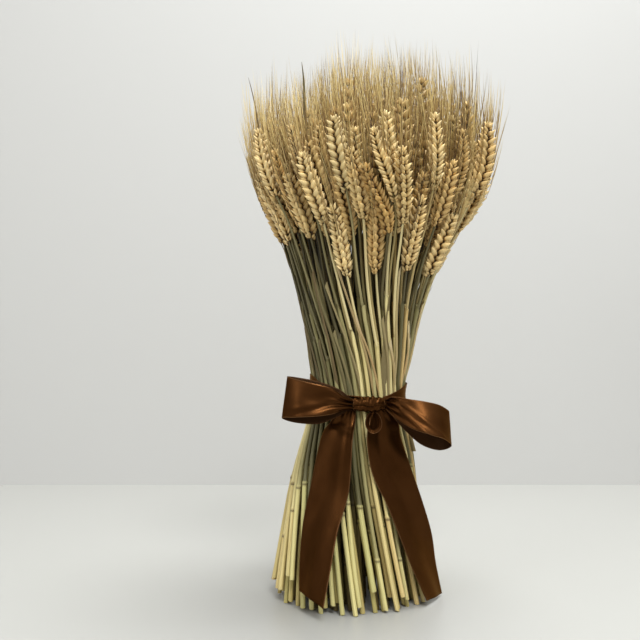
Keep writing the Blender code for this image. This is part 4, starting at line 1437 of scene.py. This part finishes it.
# %% [markdown]
# The knot is a short length of ribbon wrapped over the crossing, so its pleats run round it. It is a roll
# that follows the front of the band, open at the back where it presses on it, with a crease along its
# front. Edge points, as for the loops, could draw it too, but pleats round a roll are easier as a formula.

# %% Knot
KNOT_PLACE = (0.0155, 0.1732)
KNOT_HALF = (0.0138, 0.0036, 0.0068)
KNOT_ROWS, KNOT_COLUMNS = 40, 57


def knot_grid():
    band_radius, middle = skin(BAND_HEIGHT)
    follow = band_radius + 0.0006 + 0.0008 + 0.0003 + KNOT_HALF[1]
    grid = np.zeros((KNOT_ROWS, KNOT_COLUMNS, 3))
    for j in range(KNOT_COLUMNS):
        along = 2 * j / (KNOT_COLUMNS - 1) - 1
        x = KNOT_PLACE[0] + KNOT_HALF[0] * along
        size = 1 - 0.34 * abs(along) ** 3 + 0.05 * math.sin(5 * along + 1)
        y = -math.sqrt(follow**2 - (x - middle) ** 2)
        for i in range(KNOT_ROWS):
            turn = math.radians(60 + 240 * i / (KNOT_ROWS - 1))
            degrees = math.degrees(turn)
            scallops = 0.05 + 0.12 * math.exp(-(((degrees - 108) / 28) ** 2))
            pleat = scallops * math.cos(15 * along + 1.2 * math.sin(3 * along) + 0.8 * turn)
            pleat += 0.035 * math.cos(29 * along + 3 * turn)
            crease = 0.34 * math.exp(-(((degrees - 205 - 13 * math.sin(5 * along + 1)) / 15) ** 2))
            ridge = 0.10 * math.exp(-(((degrees - 172 - 9 * math.sin(7 * along)) / 12) ** 2))
            reach = size * (0.88 + pleat - crease + ridge)
            out = KNOT_HALF[1] * reach * math.cos(turn)
            up = KNOT_HALF[2] * reach * math.sin(turn)
            grid[i, j] = (x, y + out, KNOT_PLACE[1] + up)
    return grid


knot = cloth_sheet("knot", knot_grid(), OUTWARDS)
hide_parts("ribbon_knot")

# %% [markdown]
# A small third loop hangs from the knot like a drop, its ribbon seen edge on. Then come the two tails,
# which leave the knot pleated, open out and lie down the straws to their slanted cut ends. They could be
# dropped onto the straws as cloth. Here each row says where it lies round the sheaf and how it is turned,
# and it is moved out until it clears the straws.

# %% Drop loop and tails
DROP_LOOP = (
    ((17.2, -49.5, 165.7), (17.2, -43.5, 165.7)),
    ((14.6, -56, 163.0), (14.6, -49.0, 163.0)),
    ((13.4, -60, 157.5), (13.4, -52.5, 157.5)),
    ((15.8, -60.5, 152.6), (15.8, -53.5, 152.6)),
    ((19.4, -60.5, 151.6), (19.4, -53.5, 151.6)),
    ((23.0, -60.5, 153.8), (23.0, -53.5, 153.8)),
    ((24.4, -59, 158.5), (24.4, -52, 158.5)),
    ((22.8, -55, 163.4), (22.8, -48.5, 163.4)),
    ((20.0, -49.5, 165.7), (20.0, -43.5, 165.7)),
)
LEFT_TAIL = (
    # height, place round the sheaf and turn from the front in degrees, width, distance off the straws
    (0.1685, -13, -6, 0.014, 0.0030),
    (0.1575, -17, -24, 0.023, 0.0030),
    (0.1440, -20, -40, 0.034, 0.0022),
    (0.1020, -22, -33, 0.038, 0.0015),
    (0.0710, -26, -41, 0.038, 0.0015),
    (0.0400, -26, -48, 0.038, 0.0015),
    (0.0150, -25, -57, 0.038, 0.0015),
)
RIGHT_TAIL = (
    (0.1685, 23, 22, 0.018, 0.0025),
    (0.1575, 26, 24, 0.028, 0.0035),
    (0.1430, 26, 31, 0.036, 0.0022),
    (0.1160, 32, 22, 0.038, 0.0015),
    (0.0890, 43, 33, 0.038, 0.0015),
    (0.0600, 53, 41, 0.038, 0.0015),
    (0.0320, 62, 54, 0.038, 0.0020),
    (0.0038, 69, 63, 0.038, 0.0050),
)
LEFT_SLANT, RIGHT_SLANT = -0.006, -0.003
TAIL_COLUMNS = 25


def tail_rows(rows, slant):
    """Left and right edge points of a tail that lies on the straws."""
    found = []
    for height, place, turn, width, off in rows:
        radius, middle = skin(height)
        radius += off
        out = Vector((math.sin(math.radians(place)), -math.cos(math.radians(place)), 0))
        across = Vector((math.cos(math.radians(turn)), math.sin(math.radians(turn)), 0)) * width / 2
        reach = radius
        while min((out * reach + across * k / 4).length for k in range(-4, 5)) < radius:
            reach += 0.0002
        centre = Vector((middle, 0, height)) + out * reach
        found.append([*(centre - across), *(centre + across)])
    found[-1][2] -= slant / 2
    found[-1][5] += slant / 2
    return found


def left_tail_relief(along, across, width):
    fold = 0.0016 * np.exp(-(((across - 0.80) / 0.10) ** 2)) * smoothstep((0.62 - along) / 0.3)
    wave = 0.0006 * np.cos(math.tau * (1.4 * across + 0.9 * along))
    rolled = 0.0024 * np.exp(-(((across - 0.93) / 0.07) ** 2)) * smoothstep((0.50 - along) / 0.35)
    bump = 0.0022 * np.exp(-(((along - 0.17) / 0.05) ** 2) - ((across - 0.30) / 0.20) ** 2)
    return pleated(along, across, width, 0.0013, 3) + fold + wave + rolled + bump


def right_tail_relief(along, across, width):
    fold = 0.0012 * np.exp(-(((across - 0.30 - 0.3 * along) / 0.12) ** 2)) * smoothstep((0.7 - along) / 0.4)
    wave = 0.0006 * np.cos(math.tau * (1.2 * across - 1.1 * along))
    return pleated(along, across, width, 0.0013, 3) + fold + wave


def add_tail(name, rows, slant, relief, node):
    grid = lofted(tail_rows(rows, slant), 10, TAIL_COLUMNS, relief)
    piece = cloth_sheet(name, grid, OUTWARDS)
    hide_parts(node)


def drop_relief(along, across, width):
    return 0.0014 * np.cos(math.tau * across) * (1 + 0 * along)


drop = cloth_sheet("drop_loop", lofted(in_metres(DROP_LOOP), 6, 9, drop_relief), OUTWARDS)
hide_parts("ribbon_drop_loop")
add_tail("left_tail", LEFT_TAIL, LEFT_SLANT, left_tail_relief, "ribbon_tail_left")
add_tail("right_tail", RIGHT_TAIL, RIGHT_SLANT, right_tail_relief, "ribbon_tail_right")

# %% [markdown]
# Last, the sizes of the solid model and of the dressed one are written down side by side, so that it shows
# at once whether anything has grown past the solids.

# %% Sizes
new_low, new_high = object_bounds()
for label, low, high in (("solids", cad_low, cad_high), ("dressed", new_low, new_high)):
    print(label, [round(1000 * c, 1) for c in low], [round(1000 * c, 1) for c in high])
